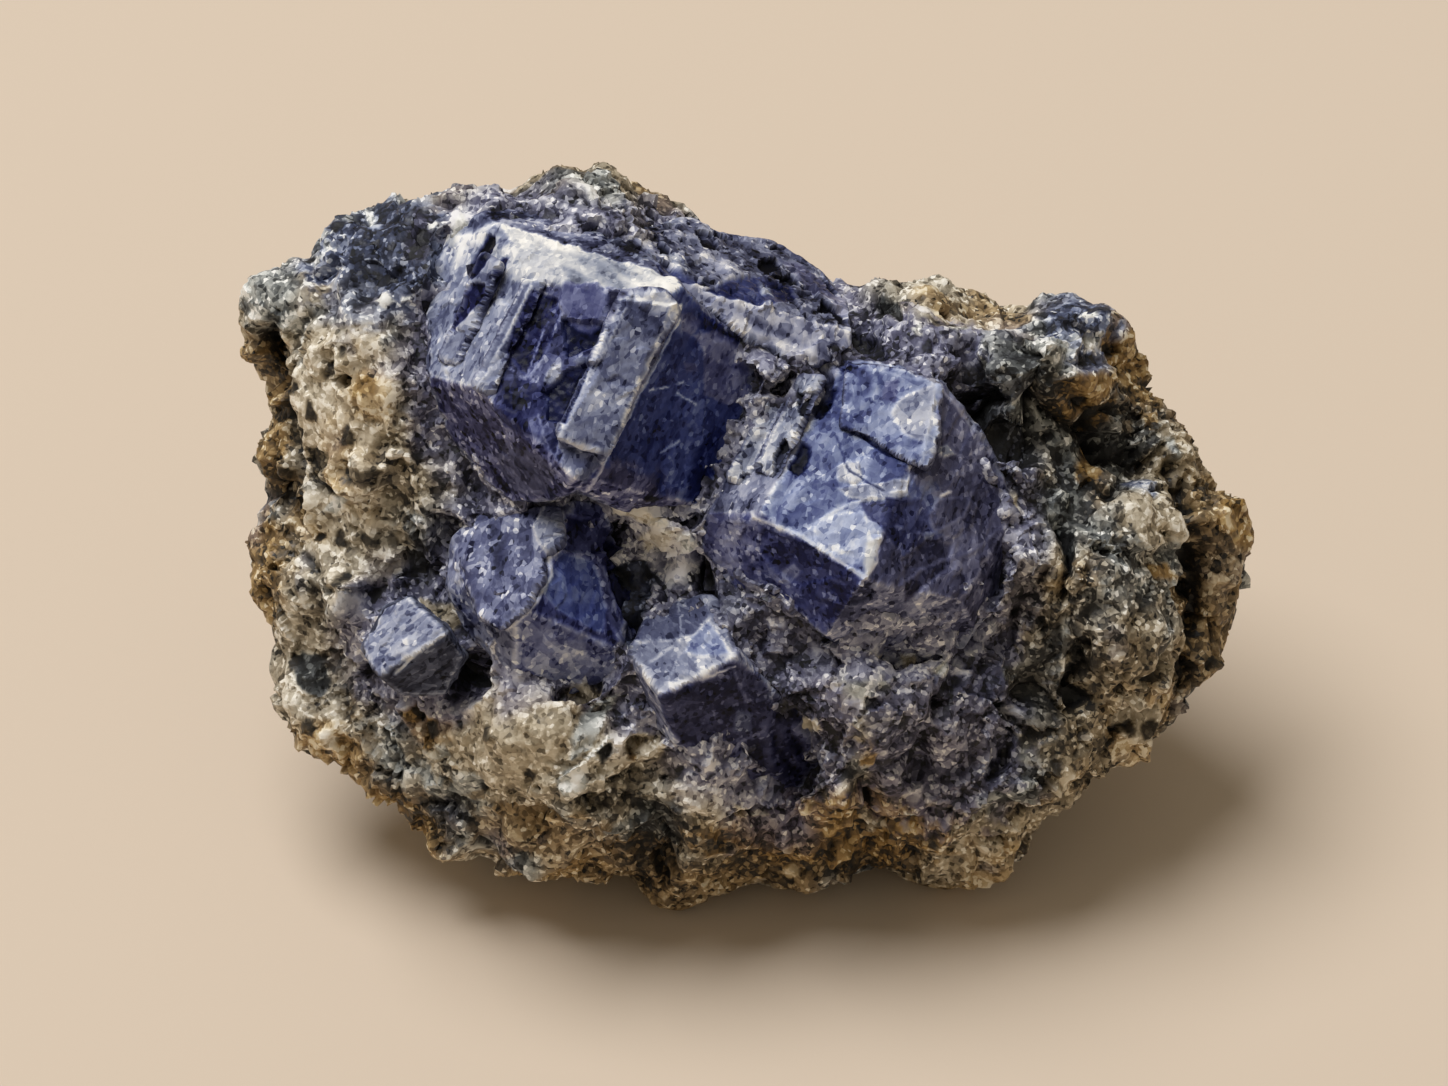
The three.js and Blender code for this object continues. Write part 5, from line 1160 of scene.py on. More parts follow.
def beside_line(seen, line):
    """How far to the side of a line each seen point lies, and how far along it."""
    distance = np.full(len(seen), FAR)
    along = np.zeros(len(seen))
    passed = 0.0
    for start, end in zip(line[:-1], line[1:]):
        away, share, run = from_straight(seen, start, end)
        length = np.linalg.norm(run)
        side = np.sign(run[0] * away[:, 1] - run[1] * away[:, 0])
        reach = np.linalg.norm(away, axis=1)
        closer = reach < np.abs(distance)
        distance = np.where(closer, reach * side, distance)
        along = np.where(closer, passed + share * length, along)
        passed += length
    return distance, along


def bands(points, seen):
    """The tone and the height of the thin layers that run along named lines."""
    tone = np.zeros(len(seen))
    height = np.zeros(len(seen))
    wave = BAND_WAVE * noise(points, *BAND_WAVE_NOISE)
    ragged = BAND_RAGGED * noise(points, *BAND_EDGE_NOISE)
    for number, (line, zone, spacing, contrast, rise) in enumerate(BANDS):
        distance, along = beside_line(seen, line)
        layered = np.stack([distance + wave, along * BAND_ALONG, points[:, 2] * BAND_DEEP], -1)
        stripe = np.clip(STRIPE_GAIN * noise(layered, spacing * 2, STRIPE_SEED + number), -1, 1)
        inside = smooth_step(*BAND_EDGE, np.abs(distance) / zone + ragged)
        tone += inside * contrast * stripe
        height += inside * rise * stripe
    return tone, height


# The gneiss

def creep_reach(points, seen):
    """How far the gneiss creeps over the crystals: a little all round, and more at named places."""
    ragged = rough_noise(points, *CREEP_EDGE)
    lifted = np.clip(rough_noise(points, *CREEP_NOISE) + CREEP_LIFT, 0, CREEP_TOP)
    creep = CREEP_LEAST + CREEP_RANGE * lifted
    for middle, half_lengths, turn, reach in CREEPS:
        weight = patch_weight(seen, middle, half_lengths, turn, ragged)
        creep = np.maximum(creep, reach * weight * (1 + CREEP_RAGGED * ragged))
    return creep


def under_crystals(points, surfaces):
    """How far each point sinks under a crystal's skin, how covered it is, and how near a crystal is."""
    _, _, from_gneiss = nearest_on(surfaces["gneiss_matrix"], points)
    from_crystal = np.full(len(points), FAR)
    for name in CRYSTALS:
        _, _, distance = nearest_on(surfaces[name], points)
        from_crystal = np.minimum(from_crystal, distance)
    deep = np.maximum(from_gneiss - creep_reach(points, seen_at(points)), 0.0)
    covered = smooth_step(*COVERED_NEAR, from_crystal) * smooth_step(*COVERED_DEPTH, deep)
    return covered * np.minimum(deep * SINK_SHARE + SINK_LEAST, SINK_MOST), covered, from_crystal


def beds(points):
    """The height of the foliation: thin tilted beds that show only in part of the gneiss."""
    fold = points @ BED_SLOPE + FOLD_HEIGHT * noise(points, *FOLDS)
    fold += SMALL_FOLD_HEIGHT * noise(points, *SMALL_FOLDS)
    bed = fold / BED_STEP
    bedded = smooth_step(*BEDDED_EDGE, noise(points, *BEDDED_PART))
    return BED_HEIGHT * bedded * (bed - np.floor(bed) - HALF_WAY)


def pits(points):
    """The depth of the small pits, which are close together in some parts and few in others."""
    deep = smooth_step(*PIT_EDGE, rough_noise(points, *PITS))
    country = smooth_step(*PIT_COUNTRY_EDGE, noise(points, *PIT_COUNTRY))
    return PIT_DEPTH * deep * (FEWEST_PITS + (1 - FEWEST_PITS) * country)


def natural_relief(points, seen, facing):
    """The height of the broken gneiss all over: lumps, knobs, tilted chips and grains, beds and pits."""
    warped = points + KNOB_WARP * noise_vector(points, *KNOB_WARP_NOISE)
    nearest, second, _, _ = grains(warped, *KNOBS)
    cobbles = np.minimum(second - nearest, KNOB_CREASE) / KNOB_CREASE - KNOB_LEVEL
    height = LUMP_HEIGHT * rough_noise(points, *LUMPS)
    height += KNOB_HEIGHT * cobbles
    height += BUMP_HEIGHT * rough_noise(points, *BUMPS)
    bulging = np.zeros(len(points))
    for middle, half_lengths, turn, _ in GNEISS_RISES:
        bulging = np.maximum(bulging, patch_weight(seen, middle, half_lengths, turn, 0.0))
    chip_tilt = CHIP_SIZE * CHIP_TILT * (1 - BULGE_CALM * bulging * facing)
    height += chip_tilt * facet_tilt(warped, CHIP_SIZE, CHIP_SEED)
    height += GRAIN_SIZE * GRAIN_TILT * facet_tilt(points, GRAIN_SIZE, GRAIN_SEED)
    height += GRIT_HEIGHT * noise(points, *GRIT)
    height += beds(points)
    height -= pits(points)
    return height


def gneiss_relief(points, seen, facing):
    """The height of the gneiss over its smooth form: natural relief, then the forms of the leaning face."""
    height = natural_relief(points, seen, facing)
    ragged = rough_noise(points, *HOLLOW_EDGE)
    hollow = np.zeros(len(points))
    for middle, half_lengths, turn, depth in GNEISS_HOLLOWS:
        hollow = np.maximum(hollow, depth * patch_weight(seen, middle, half_lengths, turn, ragged))
    for middle, half_lengths, turn, rise in GNEISS_RISES:
        wide = (half_lengths[0] * RISE_REACH, half_lengths[1] * RISE_REACH)
        height += rise * facing * patch_weight(seen, middle, wide, turn, ragged)
    _, layers = bands(points, seen)
    flake, _, flat = flakes(points)
    height += FLAKE_HEIGHT * flake + FLAKE_TILT * flake * flat
    for _, _, rise, weight in single_grains(points, seen):
        height += rise * weight * facing
    return height - (hollow + creases(points, seen)) * facing + layers * facing - INWARD_SHIFT


def creases(points, seen):
    """How deep each point lies in the named creases of the leaning face."""
    bent = bent_view(points, seen, CREASE_BEND, CREASE_BEND_NOISE)
    varied = 1 + CREASE_VARIES * noise(points, *CREASE_NOISE)
    deepest = np.zeros(len(points))
    for line, half_width, depth in GNEISS_CREASES:
        deepest = np.maximum(deepest, depth * varied * line_weight(bent, line, half_width))
    return deepest


def single_grains(points, seen):
    """Each named coarse grain of the gneiss: its colour, lightness, rise and its weight at each point."""
    bent = bent_view(points, seen, GRAIN_BEND, GRAIN_BEND_NOISE)
    for colour_name, light, rise, outline in GNEISS_GRAINS:
        yield colour_name, light, rise, smooth_step(*GRAIN_EDGE, inside_outline(bent, outline))


def flakes(points):
    """Single coarse flakes that show: 1 on each, how light it is, and the tilt of its face."""
    bent = points + FLAKE_BEND * noise_vector(points, *FLAKE_BEND_NOISE)
    nearest, second, bits, offset = grains(bent, *FLAKES)
    digits = three_digits(bits)
    pale = digits[:, 1] > PALE_FLAKES
    chosen = pale | (digits[:, 1] < DARK_FLAKES)
    inside = smooth_step(*FLAKE_BORDER, second - nearest) * smooth_step(*FLAKE_REACH, nearest) * chosen
    tone = np.where(pale, PALE_TONE + PALE_TONE_RANGE * digits[:, 2], DARK_TONE)
    return inside, tone, (offset * three_signed(bits)).sum(-1)


def natural_masks(points, facing, near_crystal):
    """The colours that the gneiss has all over: drift, blotches, stain, and violet round the crystals."""
    drift = rough_noise(points, *DRIFT)
    blotch = rough_noise(points, *BLOTCH)
    stain = rough_noise(points, *STAIN)
    turned = WEATHERED_BEHIND + (1 - WEATHERED_BEHIND) * facing
    weathered = smooth_step(*WEATHERED_DEPTH, points[:, 2]) * turned
    masks = {
        "light": BODY_LIGHT + DRIFT_LIGHT * drift + BLOTCH_LIGHT * blotch,
        "contrast": np.full(len(points), 1.0),
        "cream": smooth_step(*CREAM_EDGE, drift + CREAM_WEATHERED * weathered),
        "rust": smooth_step(*RUST_EDGE, stain + RUST_WEATHERED * weathered) * RUST_MOST,
        "violet": smooth_step(*VIOLET_EDGE, -drift) * VIOLET_MOST,
        "navy": smooth_step(*NAVY_EDGE, -blotch) * NAVY_MOST,
    }
    halo = smooth_step(*HALO_REACH, near_crystal + HALO_BLOTCH * blotch)
    masks["violet"] = np.maximum(masks["violet"], HALO_VIOLET * halo)
    masks["cream"] *= 1 - HALO_CREAM_LOSS * halo
    masks["rust"] *= 1 - HALO_RUST_LOSS * halo
    masks["light"] -= NAVY_SHADE * masks["navy"]
    return masks


def gneiss_masks(points, seen, facing, proud, near_crystal):
    """The colour masks of the gneiss: natural drift all over, then the named patches of the leaning face,
    with painted shade in creases and sunk places and painted light on proud ones.
    """
    masks = natural_masks(points, facing, near_crystal)
    ragged = ragged_border(points, PATCH_WAVE, PATCH_WAVE_NOISE, PATCH_GRAIN, PATCH_GRAINS)
    for name, middle, half_lengths, turn, value in GNEISS_PATCHES:
        paint(masks, name, patch_weight(seen, middle, half_lengths, turn, ragged) * facing, value)
    layers, _ = bands(points, seen)
    masks["light"] += layers * facing
    masks["light"] += MOTTLE_LIGHT * noise(points, *MOTTLE)
    for colour_name, light, _, weight in single_grains(points, seen):
        weight = weight * facing
        for name in TINTS_OF_GNEISS:
            paint(masks, name, weight, GRAIN_TINT * (name == colour_name))
        paint(masks, "light", weight, light)
        paint(masks, "contrast", weight, GRAIN_CONTRAST)
    masks["light"] -= CREASE_SHADE * np.clip(creases(points, seen), 0, 1) * facing
    flake, tone, _ = flakes(points)
    paint(masks, "light", flake, tone)
    paint(masks, "contrast", FLAKE_CALM * flake, 0.0)
    # painted shade in sunk places and painted light on proud ones
    masks["light"] += np.clip(proud * RELIEF_SHADE, *RELIEF_SHADE_LIMITS)
    return masks


def gneiss_ground(surfaces):
    """The gneiss as one broken, grained surface that dips under each crystal."""
    growth = {"gneiss_matrix": 0.0, **{name: UNION_GROWTH for name in CRYSTALS}}
    mesh = even_mesh(growth, GNEISS_GRID, "gneiss_ground")
    edges = mesh_edges(mesh)
    points = to_face(mesh_points(mesh))
    sink, covered, near_crystal = under_crystals(points, surfaces)
    points = spread(points, edges, GROUND_ROUNDS)
    place_points(mesh, points)
    normals = unit(spread(mesh_normals(mesh), edges, NORMAL_ROUNDS))
    seen = seen_at(points)
    facing = smooth_step(*GNEISS_FACING, normals[:, 2])
    calm = smooth_step(*FLAT_SPOT_CALM, to_row(points)[:, 2] / MM)
    height = gneiss_relief(points, seen, facing) * calm * (1 - COVERED_CALM * covered)
    moved = points + normals * (height - sink)[:, None]
    place_points(mesh, moved)
    proud = ((moved - spread(moved, edges, PROUD_ROUNDS)) * normals).sum(-1)
    store_masks(mesh, gneiss_masks(points, seen, facing, proud, near_crystal))
    mesh.calc_loop_triangles()
    wanted = GNEISS_FACES / 1
    keep_fine = (normals[:, 2] > TURNED_AWAY) & (covered < MOSTLY_COVERED)
    return shaded_piece(thin_out(mesh, keep_fine, BACK_DETAIL, wanted / len(mesh.loop_triangles)))


# The crystals

def crystal_frame(axis):
    """Three directions at right angles, the last one along the crystal's growth."""
    along = np.array(axis) / np.linalg.norm(axis)
    side = np.cross(along, [0.0, 0.0, 1.0])
    side /= np.linalg.norm(side)
    return np.array([side, np.cross(along, side), along])


def facet_of(surface, seen_point):
    """Which triangles of a packed crystal lie in the facet that shows at a seen point."""
    eye = Vector(CAMERA)
    direction = (Vector((*seen_point, 0.0)) - eye).normalized()
    _, _, index, _ = surface["tree"].ray_cast(eye, direction)
    if index is None:
        return np.zeros(len(surface["offsets"]), bool)
    same_way = surface["normals"] @ surface["normals"][index] > SAME_WAY
    return same_way & (np.abs(surface["offsets"] - surface["offsets"][index]) < SAME_PLANE)


def edge_distance(surface, points):
    """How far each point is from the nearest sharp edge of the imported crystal."""
    sides = {}
    for triangle, corners in enumerate(surface["corners"].round(CORNER_DIGITS).tolist()):
        for first, second in ((0, 1), (1, 2), (2, 0)):
            key = tuple(sorted((tuple(corners[first]), tuple(corners[second]))))
            sides.setdefault(key, []).append(triangle)
    normals = surface["normals"]
    distance = np.full(len(points), FAR)
    for (start, end), triangles in sides.items():
        if len(triangles) == 2 and normals[triangles[0]] @ normals[triangles[1]] > NEARLY_FLAT:
            continue
        away, _, _ = from_straight(points, start, end)
        distance = np.minimum(distance, np.linalg.norm(away, axis=1))
    return distance


def crystal_finish(name, surface, triangles):
    """The masks of a crystal, how flaky it is, and the finish of the facet each point lies in."""
    crystal = CRYSTALS[name]
    base = zip(MASKS_OF_IOLITE, FINISHES[crystal["finish"]])
    masks = {mask: np.full(len(triangles), value) for mask, value in base}
    shown = np.full(len(triangles), crystal["finish"], dtype=object)
    flaky = np.full(len(triangles), LEAST_FLAKY)
    for seen_point, finish in crystal["facets"]:
        here = facet_of(surface, seen_point)[triangles]
        for mask, value in zip(MASKS_OF_IOLITE, FINISHES[finish]):
            masks[mask][here] = value
        shown[here] = finish
        flaky[here] = FLAKY.get(finish, LEAST_FLAKY)
    return masks, flaky, shown


def work_faces(skin):
    """Growth lines, uneven steps, small tilted flakes, waves and chipped edges over a whole crystal, with
    painted shade on the lower steps and in the gaps, and an edge band that is partly scuffing and partly
    painted highlight.
    """
    points, flaky, ragged, masks = skin["points"], skin["flaky"], skin["ragged"], skin["masks"]
    drawn_out = skin["grown"] * LINE_STRETCH
    stretched = skin["grown"] * STEP_STRETCH
    lines = noise(drawn_out, *FINE_LINES) * FINE_LINE_SHARE + noise(drawn_out, *BROAD_LINES)
    step_number = cell_number(stretched + STEP_BEND * noise_vector(points, *STEP_BEND_NOISE), *STEPS)
    chipped = smooth_step(*EDGE_CHIP_BORDER, noise(points, *EDGE_CHIPS))
    height = (LINE_HEIGHT + FLAKY_LINE_HEIGHT * flaky) * lines
    height -= (STEP_DEPTH + FLAKY_STEP_DEPTH * flaky) * step_number
    height += FLAKY_TILT * flaky * facet_tilt(stretched, *TILTED_FLAKES)
    height += SKIN_GRIT_HEIGHT * noise(points, *SKIN_GRIT)
    at_edge = smooth_step(*EDGE_CHIP_REACH, skin["edge"] + EDGE_CHIP_RAGGED * ragged)
    height -= EDGE_CHIP_DEPTH * chipped * at_edge
    waves = SKIN_WAVE_HEIGHT * rough_noise(points, *SKIN_WAVE)
    height += waves + SLOW_WAVE_HEIGHT * noise(points, *SLOW_WAVE)
    # painted shade: deeper steps darker, higher ones lighter
    step_shade = (STEP_SHADE + FLAKY_STEP_SHADE * flaky) * (HALF_WAY - step_number)
    masks["light"] += step_shade + (LINE_LIGHT + FLAKY_LINE_LIGHT * flaky) * lines
    gap = smooth_step(*FLAKE_GAP, step_number) * smooth_step(*VERY_FLAKY, flaky)
    height -= GAP_DEPTH * gap
    masks["light"] -= GAP_SHADE * gap
    # bright edge band: partly scuffing, partly painted highlight
    worn = smooth_step(*EDGE_SCUFF_HIGHLIGHT_REACH, skin["edge"] + EDGE_SCUFF_HIGHLIGHT_RAGGED * np.abs(ragged))
    masks["light"] += EDGE_SCUFF_HIGHLIGHT * worn * skin["facing"]
    skin["height"] = height


def paint_patches(skin):
    """The named patches of colour of a crystal, each on the facets of one finish or on any."""
    for finish, mask, middle, half_lengths, turn, value in CRYSTAL_PATCHES.get(skin["name"], []):
        on_finish = (skin["shown"] == finish) | (finish == "any")
        weight = patch_weight(skin["seen"], middle, half_lengths, turn, skin["ragged"]) * on_finish
        paint(skin["masks"], mask, weight, value)


def break_faces(skin):
    """The broken faces within a crystal's facets, with a painted highlight along their borders here and
    there.
    """
    points, facing, masks = skin["points"], skin["facing"], skin["masks"]
    bent = bent_view(points, skin["seen"], BREAK_BEND, BREAK_BEND_NOISE)
    whole = smooth_step(*BREAK_RIM_GAPS, noise(points, *BREAK_RIM_NOISE))
    for finish, light, rise, border_highlight, outline in BREAKS.get(skin["name"], []):
        inside = inside_outline(bent, outline)
        weight = smooth_step(*BREAK_EDGE, inside) * facing
        for mask, value in zip(MASKS_OF_IOLITE, FINISHES[finish]):
            paint(masks, mask, weight, light if mask == "light" else value)
        # painted highlight along the borders of the broken faces, with gaps
        border = smooth_step(*BREAK_RIM, np.abs(inside)) * whole
        masks["light"] += border_highlight * border * facing
        skin["height"] += rise * weight


def sink_hollows(skin):
    """The hollows broken into a crystal, sunk and painted dark as shade."""
    for middle, half_lengths, turn, depth in CRYSTAL_HOLLOWS.get(skin["name"], []):
        weight = patch_weight(skin["seen"], middle, half_lengths, turn, skin["ragged"]) * skin["facing"]
        skin["height"] -= depth * weight
        paint(skin["masks"], "light", weight, HOLLOW_SHADE)
        paint(skin["masks"], "contrast", MARK_CALM * weight, 0.0)


def draw_lines(skin):
    """The lines of a crystal, with gaps in them: painted highlights along its edges and painted shade in its
    cracks.
    """
    points = skin["points"]
    bent = bent_view(points, skin["seen"], LINE_BEND, LINE_BEND_NOISE)
    whole = smooth_step(*LINE_GAPS, noise(points, *LINE_GAPS_NOISE))
    for line, half_width, rise, value in CRYSTAL_LINES.get(skin["name"], []):
        weight = line_weight(bent, line, half_width) * skin["facing"] * whole
        skin["height"] += rise * weight
        # bright lines are painted highlight along the edges, dark ones painted shade in the cracks
        paint(skin["masks"], "light", weight, value)
        paint(skin["masks"], "contrast", MARK_CALM * weight, 0.0)


def join_gneiss(skin, from_gneiss):
    """The layers that run from the gneiss over a crystal, and the pale rough rim where the two meet."""
    layers, layer_height = bands(skin["points"], skin["seen"])
    skin["height"] += layer_height * skin["facing"]
    skin["masks"]["light"] += layers * skin["facing"]
    rim = smooth_step(*RIM_REACH, from_gneiss + RIM_RAGGED * skin["ragged"]) * RIM_SHARE[skin["name"]]
    for mask, value in RIM_MASKS.items():
        paint(skin["masks"], mask, rim, value)
    skin["height"] += RIM_HEIGHT * rim * rough_noise(skin["points"], *RIM_NOISE)


def crystal_skin(name, surfaces):
    """A crystal with flat but worn faces: growth lines, flakes, chipped edges, hollows painted dark as shade,
    and lines of painted highlight and shade.
    """
    mesh = even_mesh({name: 0.0}, SKIN_GRID[name], name.replace("crystal", "iolite"))
    points, triangles, _ = nearest_on(surfaces[name], to_face(mesh_points(mesh)))
    flat_normals = surfaces[name]["normals"][triangles]
    normals = unit(spread(flat_normals, mesh_edges(mesh), SKIN_ROUNDS))
    masks, flaky, shown = crystal_finish(name, surfaces[name], triangles)
    skin = {
        "name": name,
        "points": points,
        "seen": seen_at(points),
        "grown": points @ crystal_frame(CRYSTALS[name]["axis"]).T,
        "facing": smooth_step(*FACET_FACING, flat_normals[:, 2]),
        "edge": edge_distance(surfaces[name], points),
        "ragged": ragged_border(points, EDGE_WAVE, EDGE_WAVE_NOISE, EDGE_GRAIN, EDGE_GRAINS),
        "masks": masks,
        "flaky": flaky,
        "shown": shown,
    }
    _, _, from_gneiss = nearest_on(surfaces["gneiss_matrix"], points)
    work_faces(skin)
    paint_patches(skin)
    break_faces(skin)
    sink_hollows(skin)
    draw_lines(skin)
    join_gneiss(skin, from_gneiss)
    place_points(mesh, points + normals * (GROWN_FAST + skin["height"])[:, None])
    store_masks(mesh, masks)
    coordinates = mesh.attributes.new("grown", "FLOAT_VECTOR", "POINT")
    coordinates.data.foreach_set("vector", (skin["grown"] * GRAIN_STRETCH).astype(np.float32).ravel())
    buried = (from_gneiss < BURIED_WITHIN) & (flat_normals[:, 2] < BURIED_TURN)
    return shaded_piece(thin_out(mesh, ~buried, 0.0, 1 - BURIED_SAVING * buried.mean()))


# Materials: colours from dark to light for each tint, with where each stop lies from 0 to 1

GNEISS_STOPS = (0.0, 0.22, 0.45, 0.68, 0.88, 1.0)
GREY_GNEISS = ("#080809", "#232526", "#5b5e5e", "#9b9d99", "#cfd0ca", "#f4f3ee")
GNEISS_TINTS = {
    "cream": ("#0e0b07", "#352d21", "#786c57", "#b2a48b", "#dbcfb8", "#f6efe0"),
    "rust": ("#0d0903", "#34270f", "#735626", "#a68245", "#ccae72", "#ead9b4"),
    "violet": ("#08080f", "#25253a", "#5a5a77", "#9192a9", "#c2c2d0", "#eeecf0"),
    "navy": ("#060811", "#171c30", "#39415c", "#727b96", "#b3bacb", "#eff1f4"),
}
IOLITE_STOPS = (0.0, 0.2, 0.4, 0.6, 0.8, 1.0)
BLUE_IOLITE = ("#040613", "#171e50", "#3e4984", "#7582b0", "#b0bcdd", "#f2f5fb")
IOLITE_TINTS = {
    "smoke": ("#06060f", "#201f3a", "#4b4b6f", "#8080a1", "#b7b7cd", "#f1eff4"),
    "pale": ("#0a0b12", "#2d3040", "#616679", "#969cac", "#cacbce", "#f7f4ee"),
}
MINERALS = [(0.14, "#000000"), (0.26, "#9a9a9a"), (0.62, "#c4c4c4"), (0.86, "#ffffff")]
SPECKS = [(0.05, "#000000"), (0.16, "#a6a6a6"), (0.80, "#c6c6c6"), (0.94, "#ffffff")]
FLECKS = [(0.04, "#000000"), (0.14, "#a6a6a6"), (0.90, "#c6c6c6"), (0.98, "#ffffff")]
SRGB_KNEE, SRGB_SLOPE, SRGB_SHIFT, SRGB_POWER = 0.04045, 12.92, 0.055, 2.4
BYTE, HEX, CODE_PLACES = 255, 16, (1, 3, 5)

# The gneiss: its shine, the sizes of its patterns in millimetres, how much of each goes into the tone, and
# the tone without them. Its real grains are 0.3 to 0.8 mm. Mica specks finer than 0.27 mm wouldn't show, so
# they are drawn at that size.

GNEISS_ROUGHNESS, GNEISS_IOR, GNEISS_SHINE = 0.7, 1.54, 0.4
MINERAL_SIZE, MINERAL_SHARE = 0.62, 0.36
SPECK_SIZE, SPECK_SHARE = 0.27, 0.70
DUST_SIZE, DUST_SHARE, DUST_DETAIL = 0.3, 0.28, 3.0
GNEISS_LEVEL = -0.60
GNEISS_WOBBLE, GNEISS_WOBBLE_REACH = 0.7, 0.12
GLINTING, DULL = 0.42, 0.85
GNEISS_SPECK_RISE, GNEISS_BUMP, GNEISS_BUMP_DEPTH = 0.7, 0.5, 0.12

# The iolite: the same for its cloudy patches, growth streaks, flecks and veils. Flecks finer than 0.24 mm are
# drawn at that size too.

IOLITE_ROUGHNESS, IOLITE_IOR, IOLITE_SHINE = 0.35, 1.545, 0.08
BROAD_SIZE, BROAD_SHARE = 1.7, 0.22
STREAK_SIZE, STREAK_SHARE = 0.75, 0.26
FLECK_SIZE, FLECK_SHARE = 0.24, 0.50
VEIL_SIZE, VEIL_SHARE, VEIL_DETAIL, VEIL_FINENESS = 1.2, 0.46, 6.0, 0.6
IOLITE_LEVEL = -0.70
IOLITE_WOBBLE, IOLITE_WOBBLE_REACH = 0.625, 0.12
ETCHED, GLASSY = 0.7, 0.24
IOLITE_FLECK_RISE, IOLITE_BUMP, IOLITE_BUMP_DEPTH = 0.4, 0.35, 0.1

# How fine the noise is that bends both kinds of grains, and the card that the stone stands on

WOBBLE_DETAIL = 2.0
CARD_COLOUR, CARD_ROUGHNESS, CARD_IOR, CARD_SHINE = "#dbcab6", 0.9, 1.5, 0.1

# The numbered sockets of the math, mix and map range nodes

VALUE, TIMES, PLUS = 0, 1, 2
MIX_SHARE, MIX_FROM, MIX_TO, MIXED = 0, 6, 7, 2
AT_LEAST, AT_MOST = 3, 4


def colour(code):
    """An sRGB hex colour as linear red, green, blue and alpha."""
    parts = [int(code[place:place + 2], HEX) / BYTE for place in CODE_PLACES]
    lower = [part / SRGB_SLOPE for part in parts]
    upper = [((part + SRGB_SHIFT) / (1 + SRGB_SHIFT)) ** SRGB_POWER for part in parts]
    return tuple(low if part <= SRGB_KNEE else high for part, low, high in zip(parts, lower, upper)) + (1.0,)


def add(tree, kind, inputs=None, **settings):
    """Adds one node with its own settings. Each input gets a value, or the output of another node."""
    made = tree.nodes.new(kind)
    stops = settings.pop("stops", None)
    for name, value in settings.items():
        setattr(made, name, value)
    if stops:
        ramp = made.color_ramp.elements
        while len(ramp) < len(stops):
            ramp.new(HALF_WAY)
        for element, (place, code) in zip(ramp, stops):
            element.position = place
            element.color = colour(code)
    for socket, value in (inputs or {}).items():
        if isinstance(value, bpy.types.NodeSocket):
            tree.links.new(value, made.inputs[socket])
        else:
            made.inputs[socket].default_value = value
    return made


def new_material(name, roughness, ior, shine):
    """An empty material with one Principled shader, and its node tree."""
    material = bpy.data.materials.new(name)
    material.use_nodes = True
    tree = material.node_tree
    tree.nodes.clear()
    surface = {"Roughness": roughness, "IOR": ior, "Specular IOR Level": shine}
    shader = add(tree, "ShaderNodeBsdfPrincipled", surface)
    output = add(tree, "ShaderNodeOutputMaterial")
    tree.links.new(shader.outputs[0], output.inputs[0])
    return material, tree, shader


def stored_masks(tree, names):
    """The masks kept on the vertices, for use in a material."""
    return {name: add(tree, "ShaderNodeAttribute", attribute_name=name).outputs["Fac"] for name in names}


def bent_place(tree, where, size, reach):
    """A place bent a little by noise of a given size, so that grains have uneven borders."""
    wobble = add(tree, "ShaderNodeTexNoise", {"Vector": where, "Scale": 1 / size, "Detail": WOBBLE_DETAIL})
    inputs = {VALUE: wobble.outputs["Color"], TIMES: (reach, reach, reach), PLUS: where}
    return add(tree, "ShaderNodeVectorMath", inputs, operation="MULTIPLY_ADD").outputs[0]


def grain_numbers(tree, place, size, **settings):
    """Three random numbers for each mineral grain of a given size."""
    cells = add(tree, "ShaderNodeTexVoronoi", {"Vector": place, "Scale": 1 / size}, **settings)
    return add(tree, "ShaderNodeSeparateColor", {VALUE: cells.outputs["Color"]}).outputs


def summed(tree, patterns, level):
    """Patterns added up on a level, each by its own share."""
    for pattern, share in patterns:
        inputs = {VALUE: pattern, TIMES: share, PLUS: level}
        level = add(tree, "ShaderNodeMath", inputs, operation="MULTIPLY_ADD").outputs[0]
    return level


def mineral_colour(tree, swing, masks, stops, body, tints):
    """The colour of a mineral: its tone read from the colours of its body, and from each tint by a mask."""
    tone = summed(tree, [(swing, masks["contrast"])], masks["light"])
    blend = add(tree, "ShaderNodeValToRGB", {VALUE: tone}, stops=list(zip(stops, body))).outputs[0]
    for name, codes in tints.items():
        tinted = add(tree, "ShaderNodeValToRGB", {VALUE: tone}, stops=list(zip(stops, codes))).outputs[0]
        inputs = {MIX_SHARE: masks[name], MIX_FROM: blend, MIX_TO: tinted}
        blend = add(tree, "ShaderNodeMix", inputs, data_type="RGBA").outputs[MIXED]
    return blend


